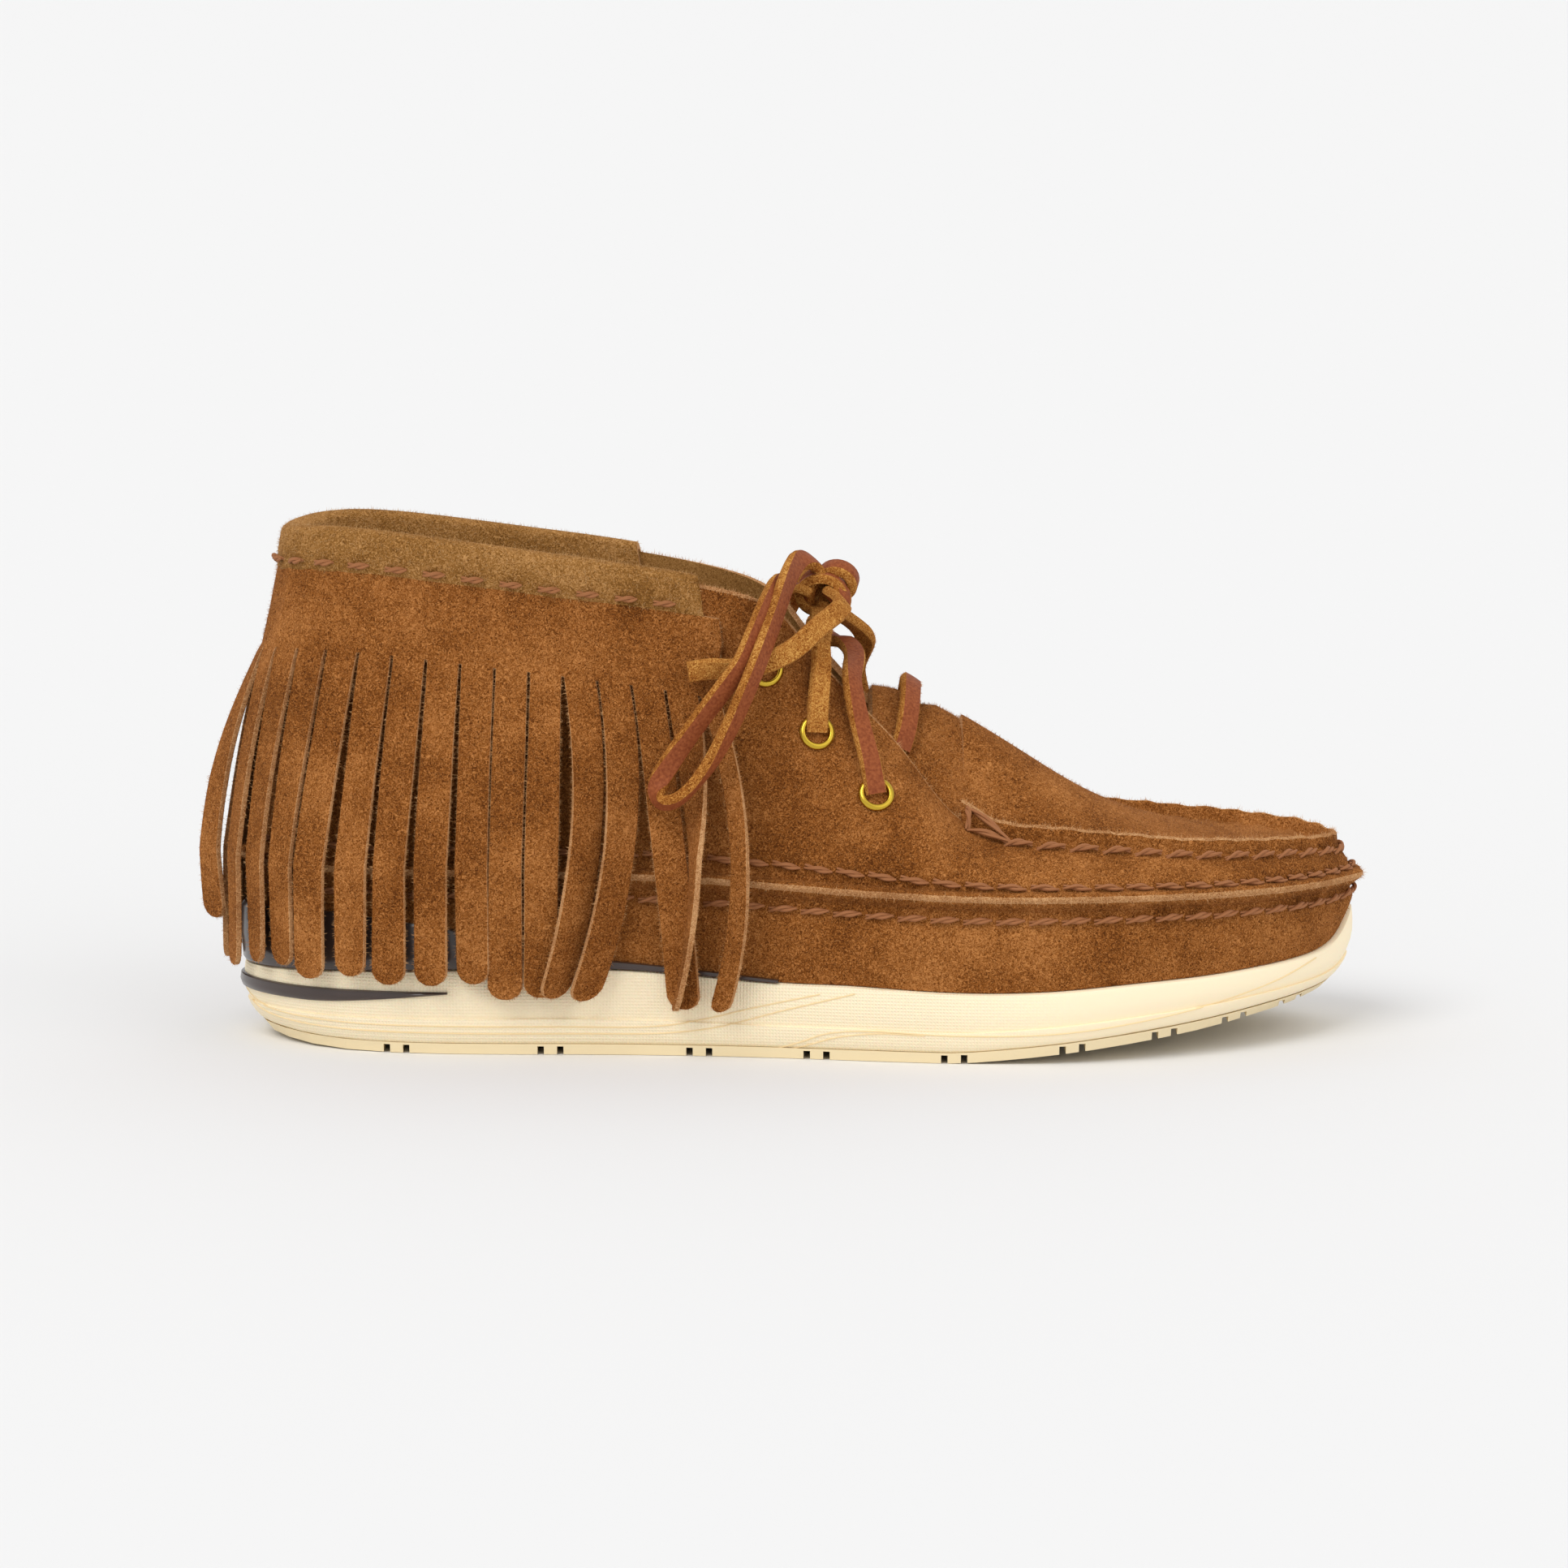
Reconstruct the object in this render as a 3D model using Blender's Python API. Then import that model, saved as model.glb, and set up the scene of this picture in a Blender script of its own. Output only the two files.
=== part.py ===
"""A right suede moccasin boot with a fringe, standing on its sole.

X runs heel to toe, the lateral side is at -Y, and the floor is Z = 0.
The origin is on the floor under the middle of the heel tread.
"""

import math

import bmesh
import bpy
import numpy as np
from mathutils import Matrix, Vector

# Overall sizes, in metres
LENGTH = 0.296
BALL_WIDTH = 0.100
RIM_HEIGHT = 0.022
TOE_SPRING = 0.0103
SEAM_HEIGHT = 0.0450
INSTEP_HEIGHT = 0.0850
SHAFT_HEIGHT = 0.1330
HEEL_SEAT = 0.056
CLEARANCE = 0.0003

# Sole
TREAD_THICKNESS = 0.0028
GROOVE_DEPTH = 0.0022
GROOVE_WIDTH = 0.0017
NUB_WIDTH = 0.0034
TUCK = 0.0130
EDGE_ROUND = 0.0010
SIDE_STEP = 0.0005
RIM_WIDTH = 0.0062
FLOOR_INSET = 0.0080
INSOLE_THICKNESS = 0.0030
BAND_LOW = 0.0127
BAND_HIGH = 0.0170
BAND_DEPTH = 0.0017
BAND_PROUD = 0.0005

# Upper
WALL = 0.0022
FEATHER_INSET = 0.0020
SEAM_INSET = 0.0030
LOWER_BELLY = 0.0012
BELLY = 0.0040
SEAM_BASE = 0.0052
SEAM_FIN = 0.0036
SEAM_RISE = 0.0012
RIDGE_BASE = 0.0036
RIDGE_FIN = 0.0036
TONGUE_WALL = 0.0020
COUNTER_WALL = 0.0014

# Collar, fringe, eyelets and lace
CUFF_WALL = 0.0018
CUFF_DEPTH = 0.0092
CUFF_INNER_DEPTH = 0.0055
FRINGE_WALL = 0.0018
FRINGE_FLARE = 0.0042
STRIP_COUNT = 31
FIRST_STRIP = 0.65
STRIP_SPREAD = 0.08
STRIP_GAP = 0.0007
EYELET_WIDTH = 0.0095
EYELET_HOLE = 0.0062
EYELET_FLANGE = 0.0007
EYELET_BARREL = 0.0004
LACE_WIDTH = 0.0056
LACE_THICKNESS = 0.0026
LACE_TUBE = 0.0038
INSTEP_AXIS = (0.100, 0.0, 0.060)

BAND = 0.0200
STRIP_LENGTH = 0.0885
FRINGE_FRONT = 0.4325
CUFF_SETBACK = 0.0040
FAN_START = 0.0470

# Points between two stations of a table
FINE = 2

# One row for each station, heel back to toe tip. "along" is a share of LENGTH, "lateral" and
# "medial" of BALL_WIDTH, "rim" and "floor" of RIM_HEIGHT, "spring" of TOE_SPRING, "tuck" of TUCK.
SOLE_COLUMNS = ("along", "lateral", "medial", "rim", "floor", "spring", "tuck")
SOLE = (
    (0.000, 0.000, 0.000, 0.90, 0.76, 0.15, 0.55),
    (0.030, -0.190, 0.190, 0.92, 0.76, 0.10, 0.46),
    (0.095, -0.315, 0.305, 0.97, 0.78, 0.02, 0.28),
    (0.190, -0.368, 0.345, 1.01, 0.80, 0.00, 0.20),
    (0.300, -0.373, 0.322, 1.04, 0.79, 0.00, 0.18),
    (0.400, -0.390, 0.296, 0.98, 0.75, 0.00, 0.18),
    (0.480, -0.422, 0.302, 0.90, 0.70, 0.00, 0.18),
    (0.535, -0.454, 0.330, 0.89, 0.67, 0.00, 0.18),
    (0.585, -0.482, 0.374, 0.86, 0.65, 0.00, 0.18),
    (0.630, -0.502, 0.412, 0.84, 0.63, 0.00, 0.18),
    (0.675, -0.514, 0.446, 0.84, 0.63, 0.09, 0.20),
    (0.730, -0.514, 0.476, 0.87, 0.65, 0.25, 0.22),
    (0.790, -0.475, 0.488, 0.92, 0.68, 0.43, 0.26),
    (0.855, -0.388, 0.466, 0.95, 0.73, 0.62, 0.34),
    (0.910, -0.280, 0.410, 0.99, 0.78, 0.80, 0.46),
    (0.955, -0.145, 0.325, 1.03, 0.82, 0.91, 0.56),
    (0.987, 0.005, 0.225, 1.18, 0.85, 0.97, 0.64),
    (1.000, 0.110, 0.110, 1.48, 0.86, 1.00, 0.68),
)

# The same stations on the upper. "inset" is a share of SEAM_INSET and "seam" of SEAM_HEIGHT, for
# the lower seam. The rest is the top edge: collar, then throat, then apron ridge round the toe.
# "top" and "crest" are shares of SHAFT_HEIGHT and INSTEP_HEIGHT, the bellies of BELLY.
UPPER_COLUMNS = (
    "inset", "seam", "along", "lateral", "medial", "top", "belly_lateral", "belly_medial", "crest"
)
UPPER = (
    (1.10, 1.055, 0.0456, 0.000, 0.000, 1.000, 0.0, 0.0, 1.300),
    (1.00, 1.055, 0.0560, -0.145, 0.140, 1.006, 0.0, 0.0, 1.300),
    (0.90, 1.055, 0.0970, -0.255, 0.250, 1.010, -0.3, -0.3, 1.300),
    (0.85, 1.050, 0.1700, -0.300, 0.293, 0.995, -0.6, -0.6, 1.300),
    (0.85, 1.040, 0.2620, -0.310, 0.300, 0.968, -0.7, -0.7, 1.300),
    (0.90, 1.020, 0.3550, -0.300, 0.290, 0.940, -0.5, -0.7, 1.300),
    (0.95, 0.990, 0.4566, -0.245, 0.225, 0.893, 0.2, -0.2, 1.260),
    (1.00, 0.970, 0.5000, -0.215, 0.195, 0.813, 0.8, 0.5, 1.200),
    (1.05, 0.955, 0.5450, -0.205, 0.180, 0.696, 1.1, 0.9, 1.135),
    (1.10, 0.945, 0.5920, -0.235, 0.205, 0.585, 1.1, 1.0, 1.073),
    (1.20, 0.940, 0.6410, -0.290, 0.250, 0.458, 0.7, 0.7, 1.000),
    (1.25, 0.940, 0.7050, -0.325, 0.290, 0.421, 0.6, 0.6, 0.865),
    (1.20, 0.935, 0.7700, -0.325, 0.325, 0.410, 0.5, 0.5, 0.735),
    (1.05, 0.925, 0.8450, -0.270, 0.360, 0.391, 0.4, 0.4, 0.645),
    (0.85, 0.915, 0.9070, -0.175, 0.345, 0.380, 0.3, 0.3, 0.608),
    (0.65, 0.905, 0.9500, -0.065, 0.285, 0.372, 0.2, 0.2, 0.594),
    (0.50, 0.895, 0.9760, 0.035, 0.205, 0.365, 0.1, 0.1, 0.583),
    (0.45, 0.890, 0.9850, 0.120, 0.120, 0.361, 0.1, 0.1, 0.578),
)
BAR_TACK = 10
TONGUE_TOP = 16

# Pairs of tread grooves with a nub between them, as shares of LENGTH at the nub's middle
GROOVE_PAIRS = (0.144, 0.280, 0.411, 0.514, 0.634, 0.737, 0.819, 0.883, 0.937)

# Each eyelet, from the toe end: its station, and its share of the way from seam to throat edge
EYELETS = ((8.05, 0.50), (7.05, 0.62), (6.10, 0.75))

# How far down a strip each row lies, and how wide it is there
STRIP_ROWS = ((0.26, 1.0), (0.52, 1.0), (0.78, 1.0), (0.945, 0.95), (1.0, 0.45))

# The strips that hang otherwise than the rest, from the lateral front edge:
# drop and lean in metres, turn halfway and at the tip in degrees, stand-off in metres
FRONT_STRIPS = {
    0: (0.0860, -0.0012, -14, -20, 0.0005),
    1: (0.0865, 0.0000, -18, -24, 0.0010),
    2: (0.0870, -0.0001, 5, 8, 0.0000),
    3: (0.0865, 0.0002, -12, -8, 0.0006),
    4: (0.0870, 0.0003, -10, -6, 0.0004),
}

# Routes of the bars and crossings. A place on a quarter is its side, station, share of the way
# from seam to edge and lift off the skin; a free place is X, Y, Z. Lengths are in millimetres.
LACE_CROSS = (("lateral", 8.05, 0.50, 3.2), ("lateral", 7.95, 0.75, 3.4), ("lateral", 7.85, 1.00, 3.6),
              (106.2, -9.0, 101.8), (103.6, 0.0, 104.2), (100.6, 9.0, 103.4),
              ("medial", 7.20, 1.00, 3.6), ("medial", 7.10, 0.80, 3.4), ("medial", 7.05, 0.62, 3.2))
LACE_NEAR = (("lateral", 7.05, 0.62, 3.2), ("lateral", 7.15, 0.82, 3.6), ("lateral", 7.20, 1.00, 4.4),
             (97.6, -12.5, 109.4), (97.4, -4.0, 110.6))
LACE_FAR = (("medial", 8.05, 0.50, 3.2), ("medial", 8.00, 0.75, 3.4), ("medial", 7.95, 1.00, 4.2),
            (109.2, 11.0, 104.0), (104.0, 4.5, 109.0), (97.4, -4.0, 110.8))
LACE_BAR = ((119.5, -19.0, 82.6), (120.5, -14.2, 87.6), (121.0, -7.2, 91.6), (121.2, 0.0, 93.1),
            (121.0, 6.2, 91.8), (120.5, 12.2, 88.2), (119.5, 17.0, 83.2))
KNOT_PLACE = (97.2, -2.0, 117.6)
KNOT_SIZE = (7.5, 6.0, 4.6)
LOOP_NEAR = ((89.2, -4.0, 119.4), (86.6, -15.0, 121.5), (83.6, -27.8, 117.6), (79.8, -37.2, 109.5),
             (77.0, -42.0, 103.5), (72.5, -44.0, 97.5), (66.0, -45.2, 89.0), (60.0, -46.0, 80.5),
             (55.5, -47.0, 72.5), (56.5, -49.0, 68.4), (61.5, -50.0, 70.0), (68.5, -48.5, 78.0),
             (74.8, -46.3, 89.5), (80.5, -42.6, 102.5), (85.0, -31.0, 113.5), (88.6, -18.0, 122.5),
             (91.6, -8.0, 126.4), (95.5, -3.0, 125.6))
LOOP_FAR = ((97.2, 4.4, 117.8), (96.6, 13.0, 120.6), (92.0, 25.5, 116.0), (87.0, 33.5, 106.0),
            (81.0, 39.5, 94.0), (74.5, 43.8, 82.0), (70.5, 46.0, 73.0), (72.5, 47.6, 69.0),
            (78.0, 47.5, 72.0), (84.5, 44.5, 82.0), (91.0, 39.0, 94.0), (97.5, 31.0, 105.5),
            (101.5, 21.0, 115.0), (103.8, 11.0, 119.8), (104.0, 1.8, 119.4))
END_NEAR = ((101.5, -7.4, 117.0), (102.8, -17.6, 116.0), (97.0, -27.8, 111.5), (90.0, -33.8, 106.0),
            (82.5, -35.2, 102.6), (75.0, -36.6, 101.2), (69.0, -37.3, 101.4), (63.0, -38.0, 100.6))


def smooth_loop(values, per):
    """A closed cubic curve through rows of values, with per points to each interval."""
    values = np.asarray(values, float)
    after = np.roll(values, -1, 0)
    ones = np.eye(len(values))
    matrix = 4 * ones + np.roll(ones, 1, 0) + np.roll(ones, -1, 0)
    bend = np.linalg.solve(matrix, 6 * (after - 2 * values + np.roll(values, 1, 0)))
    next_bend = np.roll(bend, -1, 0)
    steps = []
    for step in range(per):
        t = step / per
        s = 1 - t
        curve = ((s**3 - s) * bend + (t**3 - t) * next_bend) / 6
        steps.append(s * values + t * after + curve)
    return np.stack(steps, 1).reshape(len(values) * per, -1)


def loop_of(table, columns, lateral, medial, per):
    """Named columns of a table, out along the lateral side and back along the medial one."""
    out = [[row[columns.index(name)] for name in lateral] for row in table]
    back = [[row[columns.index(name)] for name in medial] for row in table[-2:0:-1]]
    return smooth_loop(out + back, per)


def outward(plan):
    """Unit vectors in plan, square to a loop and pointing out of it."""
    along = np.roll(plan, -1, 0) - np.roll(plan, 1, 0)
    normal = np.stack([along[:, 1], -along[:, 0]], 1)
    return normal / np.linalg.norm(normal, axis=1)[:, None]


def with_height(plan, height):
    return np.column_stack([plan, np.broadcast_to(height, len(plan))])


def sole_loops(per=FINE):
    """The sole's outline, its outward normals, and its rim, floor, spring and tuck."""
    edge = loop_of(SOLE, SOLE_COLUMNS, ("along", "lateral"), ("along", "medial"), per)
    plan = edge * (LENGTH, BALL_WIDTH) - (HEEL_SEAT, 0)
    names = ("rim", "floor", "spring", "tuck")
    rim, floor, spring, tuck = loop_of(SOLE, SOLE_COLUMNS, names, names, per).T
    spring = np.maximum(spring, 0) * TOE_SPRING
    return plan, outward(plan), rim * RIM_HEIGHT, floor * RIM_HEIGHT, spring, tuck * TUCK


def side_loop(height, proud=0.0, per=FINE):
    """The sole's side at a height, which may differ round the loop: it tucks in to the tread."""
    plan, normal, rim, _, spring, tuck = sole_loops(per)
    rise = np.clip((height - spring) / (0.8 * (rim - spring)), 0, 1)
    inset = tuck * (1 - rise) ** 2 - proud
    return with_height(plan - normal * inset[:, None], height)


def mesh_object(name, points, faces, finish, smooth_angle=40):
    """A closed solid from points and faces, with its faces turned outwards."""
    mesh = bpy.data.meshes.new(name)
    mesh.from_pydata([tuple(p) for p in points], [], faces)
    work = bmesh.new()
    work.from_mesh(mesh)
    bmesh.ops.recalc_face_normals(work, faces=work.faces)
    if work.calc_volume(signed=True) < 0:
        bmesh.ops.reverse_faces(work, faces=work.faces)
    bmesh.ops.triangulate(work, faces=[f for f in work.faces if len(f.verts) > 4])
    work.to_mesh(mesh)
    work.free()
    mesh.shade_smooth()
    mesh.set_sharp_from_angle(angle=math.radians(smooth_angle))
    mesh.materials.append(finish)
    obj = bpy.data.objects.new(name, mesh)
    bpy.context.scene.collection.objects.link(obj)
    return obj


def band_faces(rows, count, closed=True):
    """Quads between the rows of a grid whose points run along each row in turn."""
    steps = count if closed else count - 1
    faces = []
    for row in range(rows - 1):
        for i in range(steps):
            a, b = row * count + i, row * count + (i + 1) % count
            faces.append((a, b, b + count, a + count))
    return faces


def ladder_faces(first, count):
    """Faces straight across a loop, from its lateral to its medial side."""
    faces = [(first, first + 1, first + count - 1)]
    for i in range(1, count // 2 - 1):
        faces.append((first + i, first + i + 1, first + count - i - 1, first + count - i))
    middle = first + count // 2
    faces.append((middle - 1, middle, middle + 1))
    return faces


def stacked(name, loops, finish, smooth_angle=40):
    """A solid from loops laid one on another, closed straight across below and above."""
    count = len(loops[0])
    faces = band_faces(len(loops), count)
    faces += ladder_faces(0, count)
    faces += ladder_faces((len(loops) - 1) * count, count)
    return mesh_object(name, np.concatenate(loops), faces, finish, smooth_angle)


def thickened(name, outer, inner, faces, finish, smooth_angle=40):
    """A wall between two skins that share their faces, closed along its free edges."""
    count = len(outer)
    used = {}
    for face in faces:
        for a, b in zip(face, face[1:] + face[:1]):
            used.setdefault(frozenset((a, b)), []).append((a, b))
    rims = [edges[0] for edges in used.values() if len(edges) == 1]
    walls = list(faces)
    walls += [tuple(i + count for i in reversed(face)) for face in faces]
    walls += [(b, a, a + count, b + count) for a, b in rims]
    return mesh_object(name, np.concatenate([outer, inner]), walls, finish, smooth_angle)


def point_normals(points, faces):
    """Unit normals at the points of an open skin."""
    normals = np.zeros_like(points)
    for face in faces:
        corners = points[list(face)]
        normal = np.cross(corners[2] - corners[0], corners[-1] - corners[1])
        for i in face:
            normals[i] += normal
    return normals / np.linalg.norm(normals, axis=1)[:, None]


def cutter(obj):
    obj.hide_render = True
    obj.display_type = "WIRE"
    return obj


def cut(obj, tool, operation="DIFFERENCE"):
    modifier = obj.modifiers.new(tool.name, "BOOLEAN")
    modifier.operation = operation
    modifier.object = cutter(tool)


def box(name, low, high, finish):
    """A plain box between two corners."""
    corners = [(x, y, z) for z in (low[2], high[2]) for y in (low[1], high[1])
               for x in (low[0], high[0])]
    faces = [(0, 1, 3, 2), (4, 5, 7, 6), (0, 1, 5, 4), (2, 3, 7, 6), (0, 2, 6, 4), (1, 3, 7, 5)]
    return mesh_object(name, corners, faces, finish)


def outsole(finish):
    """The rubber tread: a plate under the sole, cut across by pairs of grooves."""
    _, _, _, _, spring, _ = sole_loops()
    low = side_loop(spring)
    high = side_loop(spring + TREAD_THICKNESS)
    obj = stacked("outsole", [low, high], finish)
    for number, share in enumerate(GROOVE_PAIRS):
        for side in (-1, 1):
            middle = share * LENGTH - HEEL_SEAT + side * (NUB_WIDTH + GROOVE_WIDTH) / 2
            floor = float(np.interp(middle, *tread_line()))
            corner_low = (middle - GROOVE_WIDTH / 2, -BALL_WIDTH, floor - TREAD_THICKNESS)
            corner_high = (middle + GROOVE_WIDTH / 2, BALL_WIDTH, floor + GROOVE_DEPTH)
            name = f"groove_{number}_{'heel' if side < 0 else 'toe'}"
            cut(obj, box(name, corner_low, corner_high, finish))
    return obj


def tread_line():
    """Places along the sole and the height of the tread's underside there."""
    plan, _, _, _, spring, _ = sole_loops()
    half = len(plan) // 2 + 1
    return plan[:half, 0], spring[:half]


def midsole(finish):
    """The moulded foam unit: side wall with a step, rim, and the floor that the insole lies on."""
    _, _, rim, floor, spring, _ = sole_loops()
    bottom = spring + TREAD_THICKNESS + CLEARANCE
    shares = (0.0, 0.16, 0.34, 0.345, 0.60, 0.92)
    prouds = (0.0, 0.0, 0.0, -SIDE_STEP, -SIDE_STEP, -SIDE_STEP)
    loops = [side_loop(bottom + (rim - bottom) * share, proud)
             for share, proud in zip(shares, prouds)]
    loops.append(side_loop(rim, -EDGE_ROUND))
    loops.append(side_loop(rim, -RIM_WIDTH))
    inner = side_loop(rim, -FLOOR_INSET)
    loops.append(with_height(inner[:, :2], floor))
    obj = stacked("midsole", loops, finish)
    cut(obj, heel_strip("band_groove", -BAND_DEPTH, 3 * BAND_DEPTH, BAND_LOW, BAND_HIGH, finish))
    return obj


def heel_strip(name, inner, outer, low, high, finish, trim=0.0):
    """A strip round the heel between two offsets from the sole's side and two heights."""
    end = 3 * FINE
    order = np.arange(-end, end + 1)
    rows = [side_loop(z, offset)[order] for offset in (outer, inner) for z in (low, high)]
    for row in rows:
        row[0] += (row[1] - row[0]) * trim
        row[-1] += (row[-2] - row[-1]) * trim
    faces = band_faces(2, len(order), closed=False)
    return thickened(name, np.concatenate(rows[:2]), np.concatenate(rows[2:]), faces, finish)


def heel_band(finish):
    inner = 3 * CLEARANCE - BAND_DEPTH
    return heel_strip("heel_band", inner, BAND_PROUD, BAND_LOW + CLEARANCE,
                      BAND_HIGH - CLEARANCE, finish, trim=0.04)


def insole(finish):
    """The sock liner on the midsole's floor."""
    _, _, rim, floor, _, _ = sole_loops()
    plan = side_loop(rim, -FLOOR_INSET - 3 * CLEARANCE)[:, :2]
    low = with_height(plan, floor + CLEARANCE)
    high = with_height(plan, floor + CLEARANCE + INSOLE_THICKNESS)
    return stacked("insole", [low, high], finish)


def upper_loops(per=FINE):
    """The upper's feather edge, the two edges of its lower seam, and its top edge."""
    plan, normal, rim, _, _, _ = sole_loops(per)
    seam_names = ("inset", "seam")
    inset, seam = loop_of(UPPER, UPPER_COLUMNS, seam_names, seam_names, per).T
    feather = with_height(plan - normal * FEATHER_INSET, rim + CLEARANCE)
    seam_plan = plan - normal * (inset * SEAM_INSET)[:, None]
    seam_low = with_height(seam_plan, seam * SEAM_HEIGHT - SEAM_BASE / 2)
    seam_high = with_height(seam_plan, seam * SEAM_HEIGHT + SEAM_BASE / 2)
    lateral = ("along", "lateral", "top", "belly_lateral")
    medial = ("along", "medial", "top", "belly_medial")
    table = loop_of(UPPER, UPPER_COLUMNS, lateral, medial, per)
    top = table[:, :3] * (LENGTH, BALL_WIDTH, SHAFT_HEIGHT) - (HEEL_SEAT, 0, 0)
    return feather, seam_low, seam_high, top, with_height(normal, 0), table[:, 3] * BELLY


def lower_wall(share, per=FINE):
    """The wrap between feather edge and lower seam, at a share of the way up."""
    feather, seam_low, _, _, normal, _ = upper_loops(per)
    share = np.broadcast_to(share, len(feather))[:, None]
    bulge = LOWER_BELLY * 4 * share * (1 - share)
    return feather * (1 - share) + seam_low * share + normal * bulge


def upper_wall(share, per=FINE):
    """The side above the lower seam, at a share of the way to the top edge."""
    _, _, seam_high, top, normal, belly = upper_loops(per)
    bulge = belly[:, None] * 4 * share * (1 - share)
    return seam_high * (1 - share) + top * share + normal * bulge


def apron_section(first, second, crest, shares):
    """Points across the instep between two edge points, rising to a crest height."""
    shares = np.asarray(shares)[:, None]
    line = first * (1 - shares) + second * shares
    rise = crest - (first[2] + second[2]) / 2
    line[:, 2] += (rise * (1 - np.abs(2 * shares - 1) ** 1.9))[:, 0]
    return line


def crest_heights(per=FINE):
    crest = loop_of(UPPER, UPPER_COLUMNS, ("crest",), ("crest",), per)[:, 0]
    return crest * INSTEP_HEIGHT


LOWER_SHARES = (0.0, 0.35, 0.70, 1.0)
FIN_SHARES = (0.36, 0.72)
UPPER_SHARES = (0.0, 0.18, 0.38, 0.58, 0.78, 1.0)
RIDGE_SHARES = (0.22, 0.74, 1.0)
APRON_STEPS = 8


def upper_skin():
    """The upper's smooth skin, how far its seams stand off it, and its faces."""
    _, seam_low, seam_high, top, normal, _ = upper_loops()
    count = len(top)
    up = np.array([0, 0, 1.0])
    rows = [lower_wall(share) for share in LOWER_SHARES]
    rows += [seam_low * (1 - share) + seam_high * share for share in FIN_SHARES]
    rows += [upper_wall(share) for share in UPPER_SHARES]
    relief = [np.zeros_like(row) for row in rows]
    for row in range(len(LOWER_SHARES), len(LOWER_SHARES) + len(FIN_SHARES)):
        relief[row] = normal * SEAM_FIN + up * SEAM_RISE
    faces = band_faces(len(rows), count)
    toe = np.arange(BAR_TACK * FINE, count - BAR_TACK * FINE + 1)
    inboard = -with_height(outward(top[:, :2]), -0.15)[toe]
    ridge = [top[toe] + inboard * RIDGE_BASE * share for share in RIDGE_SHARES]
    ridge_relief = [np.tile(up * RIDGE_FIN * fin, (len(toe), 1)) for fin in (1, 1, 0)]
    start = len(rows) * count
    edge = (len(rows) - 1) * count
    for i in range(len(toe) - 1):
        faces.append((edge + toe[i], edge + toe[i + 1], start + i + 1, start + i))
    faces += [tuple(start + i for i in face)
              for face in band_faces(len(ridge), len(toe), closed=False)]
    inner = start + (len(ridge) - 1) * len(toe)
    half = len(toe) // 2
    crest = crest_heights()[toe]
    shares = np.arange(1, APRON_STEPS) / APRON_STEPS
    apron = [apron_section(ridge[-1][i], ridge[-1][-1 - i], crest[i], shares)
             for i in range(half)]
    first = start + len(ridge) * len(toe)
    across = APRON_STEPS - 1

    def section(i):
        inside = range(first + i * across, first + (i + 1) * across)
        return [inner + i, *inside, inner + len(toe) - 1 - i]

    for i in range(half - 1):
        here, ahead = section(i), section(i + 1)
        faces += [(here[j], ahead[j], ahead[j + 1], here[j + 1]) for j in range(APRON_STEPS)]
    last = section(half - 1)
    faces += [(last[j], inner + half, last[j + 1]) for j in range(APRON_STEPS)]
    flat = np.zeros((half * across, 3))
    points = np.concatenate(rows + ridge + apron)
    return points, np.concatenate(relief + ridge_relief + [flat]), faces


def upper(finish):
    """One hollow wall: wrap, raised lower seam, sides, shaft, ridge and apron."""
    points, relief, faces = upper_skin()
    inner = points - point_normals(points, faces) * WALL
    hollow_toe(inner)
    obj = thickened("upper", points + relief, inner, faces, finish)
    for number, (station, share) in enumerate(EYELETS):
        for side in ("lateral", "medial"):
            place, facing = quarter_point(station, share, side)
            radius = EYELET_HOLE / 2 + EYELET_BARREL + CLEARANCE
            cut(obj, punch(f"hole_{number}_{side}", radius, place, facing))
    return obj


def hollow_toe(inner):
    """Moves the inside of the toe's side wall and ridge clear of the corner between them."""
    _, _, seam_high, top, normal, _ = upper_loops()
    count = len(top)
    toe = np.arange(BAR_TACK * FINE, count - BAR_TACK * FINE + 1)
    inboard = -with_height(outward(top[:, :2]), 0)
    under = np.array([0, 0, WALL])
    first = (len(LOWER_SHARES) + len(FIN_SHARES)) * count
    for row, share in enumerate(UPPER_SHARES):
        side = upper_wall(share) - under * share + inboard * WALL
        inner[first + row * count + toe] = side[toe]
    first += len(UPPER_SHARES) * count
    for row, share in enumerate(RIDGE_SHARES[:-1]):
        reach = WALL + (RIDGE_BASE - WALL) * share
        start = first + row * len(toe)
        inner[start:start + len(toe)] = (top - under + inboard * reach)[toe]


def quarter_point(station, share, side):
    """A point of the outer skin of the quarter, and the way that the skin faces there."""
    per = 20
    index = round(station * per)
    if side == "medial":
        index = -index
    here, above = upper_wall(share, per), upper_wall(share + 0.05, per)
    along = here[index + 1] - here[index - 1]
    facing = np.cross(along, above[index] - here[index])
    return Vector(here[index]), Vector(facing).normalized()


def turned(name, profile, place, facing, finish, sides=12):
    """A ring turned from a closed profile of (radius, height) round the way it faces."""
    spin = facing.to_track_quat("Z", "Y").to_matrix().to_4x4()
    matrix = Matrix.Translation(place) @ spin
    points = []
    for step in range(sides):
        angle = math.tau * step / sides
        for radius, height in profile:
            local = Vector((radius * math.cos(angle), radius * math.sin(angle), height))
            points.append(matrix @ local)
    count = len(profile)
    faces = []
    for step in range(sides):
        here, ahead = step * count, (step + 1) % sides * count
        for i in range(count):
            j = (i + 1) % count
            faces.append((here + i, ahead + i, ahead + j, here + j))
    return mesh_object(name, points, faces, finish, 30)


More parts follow.
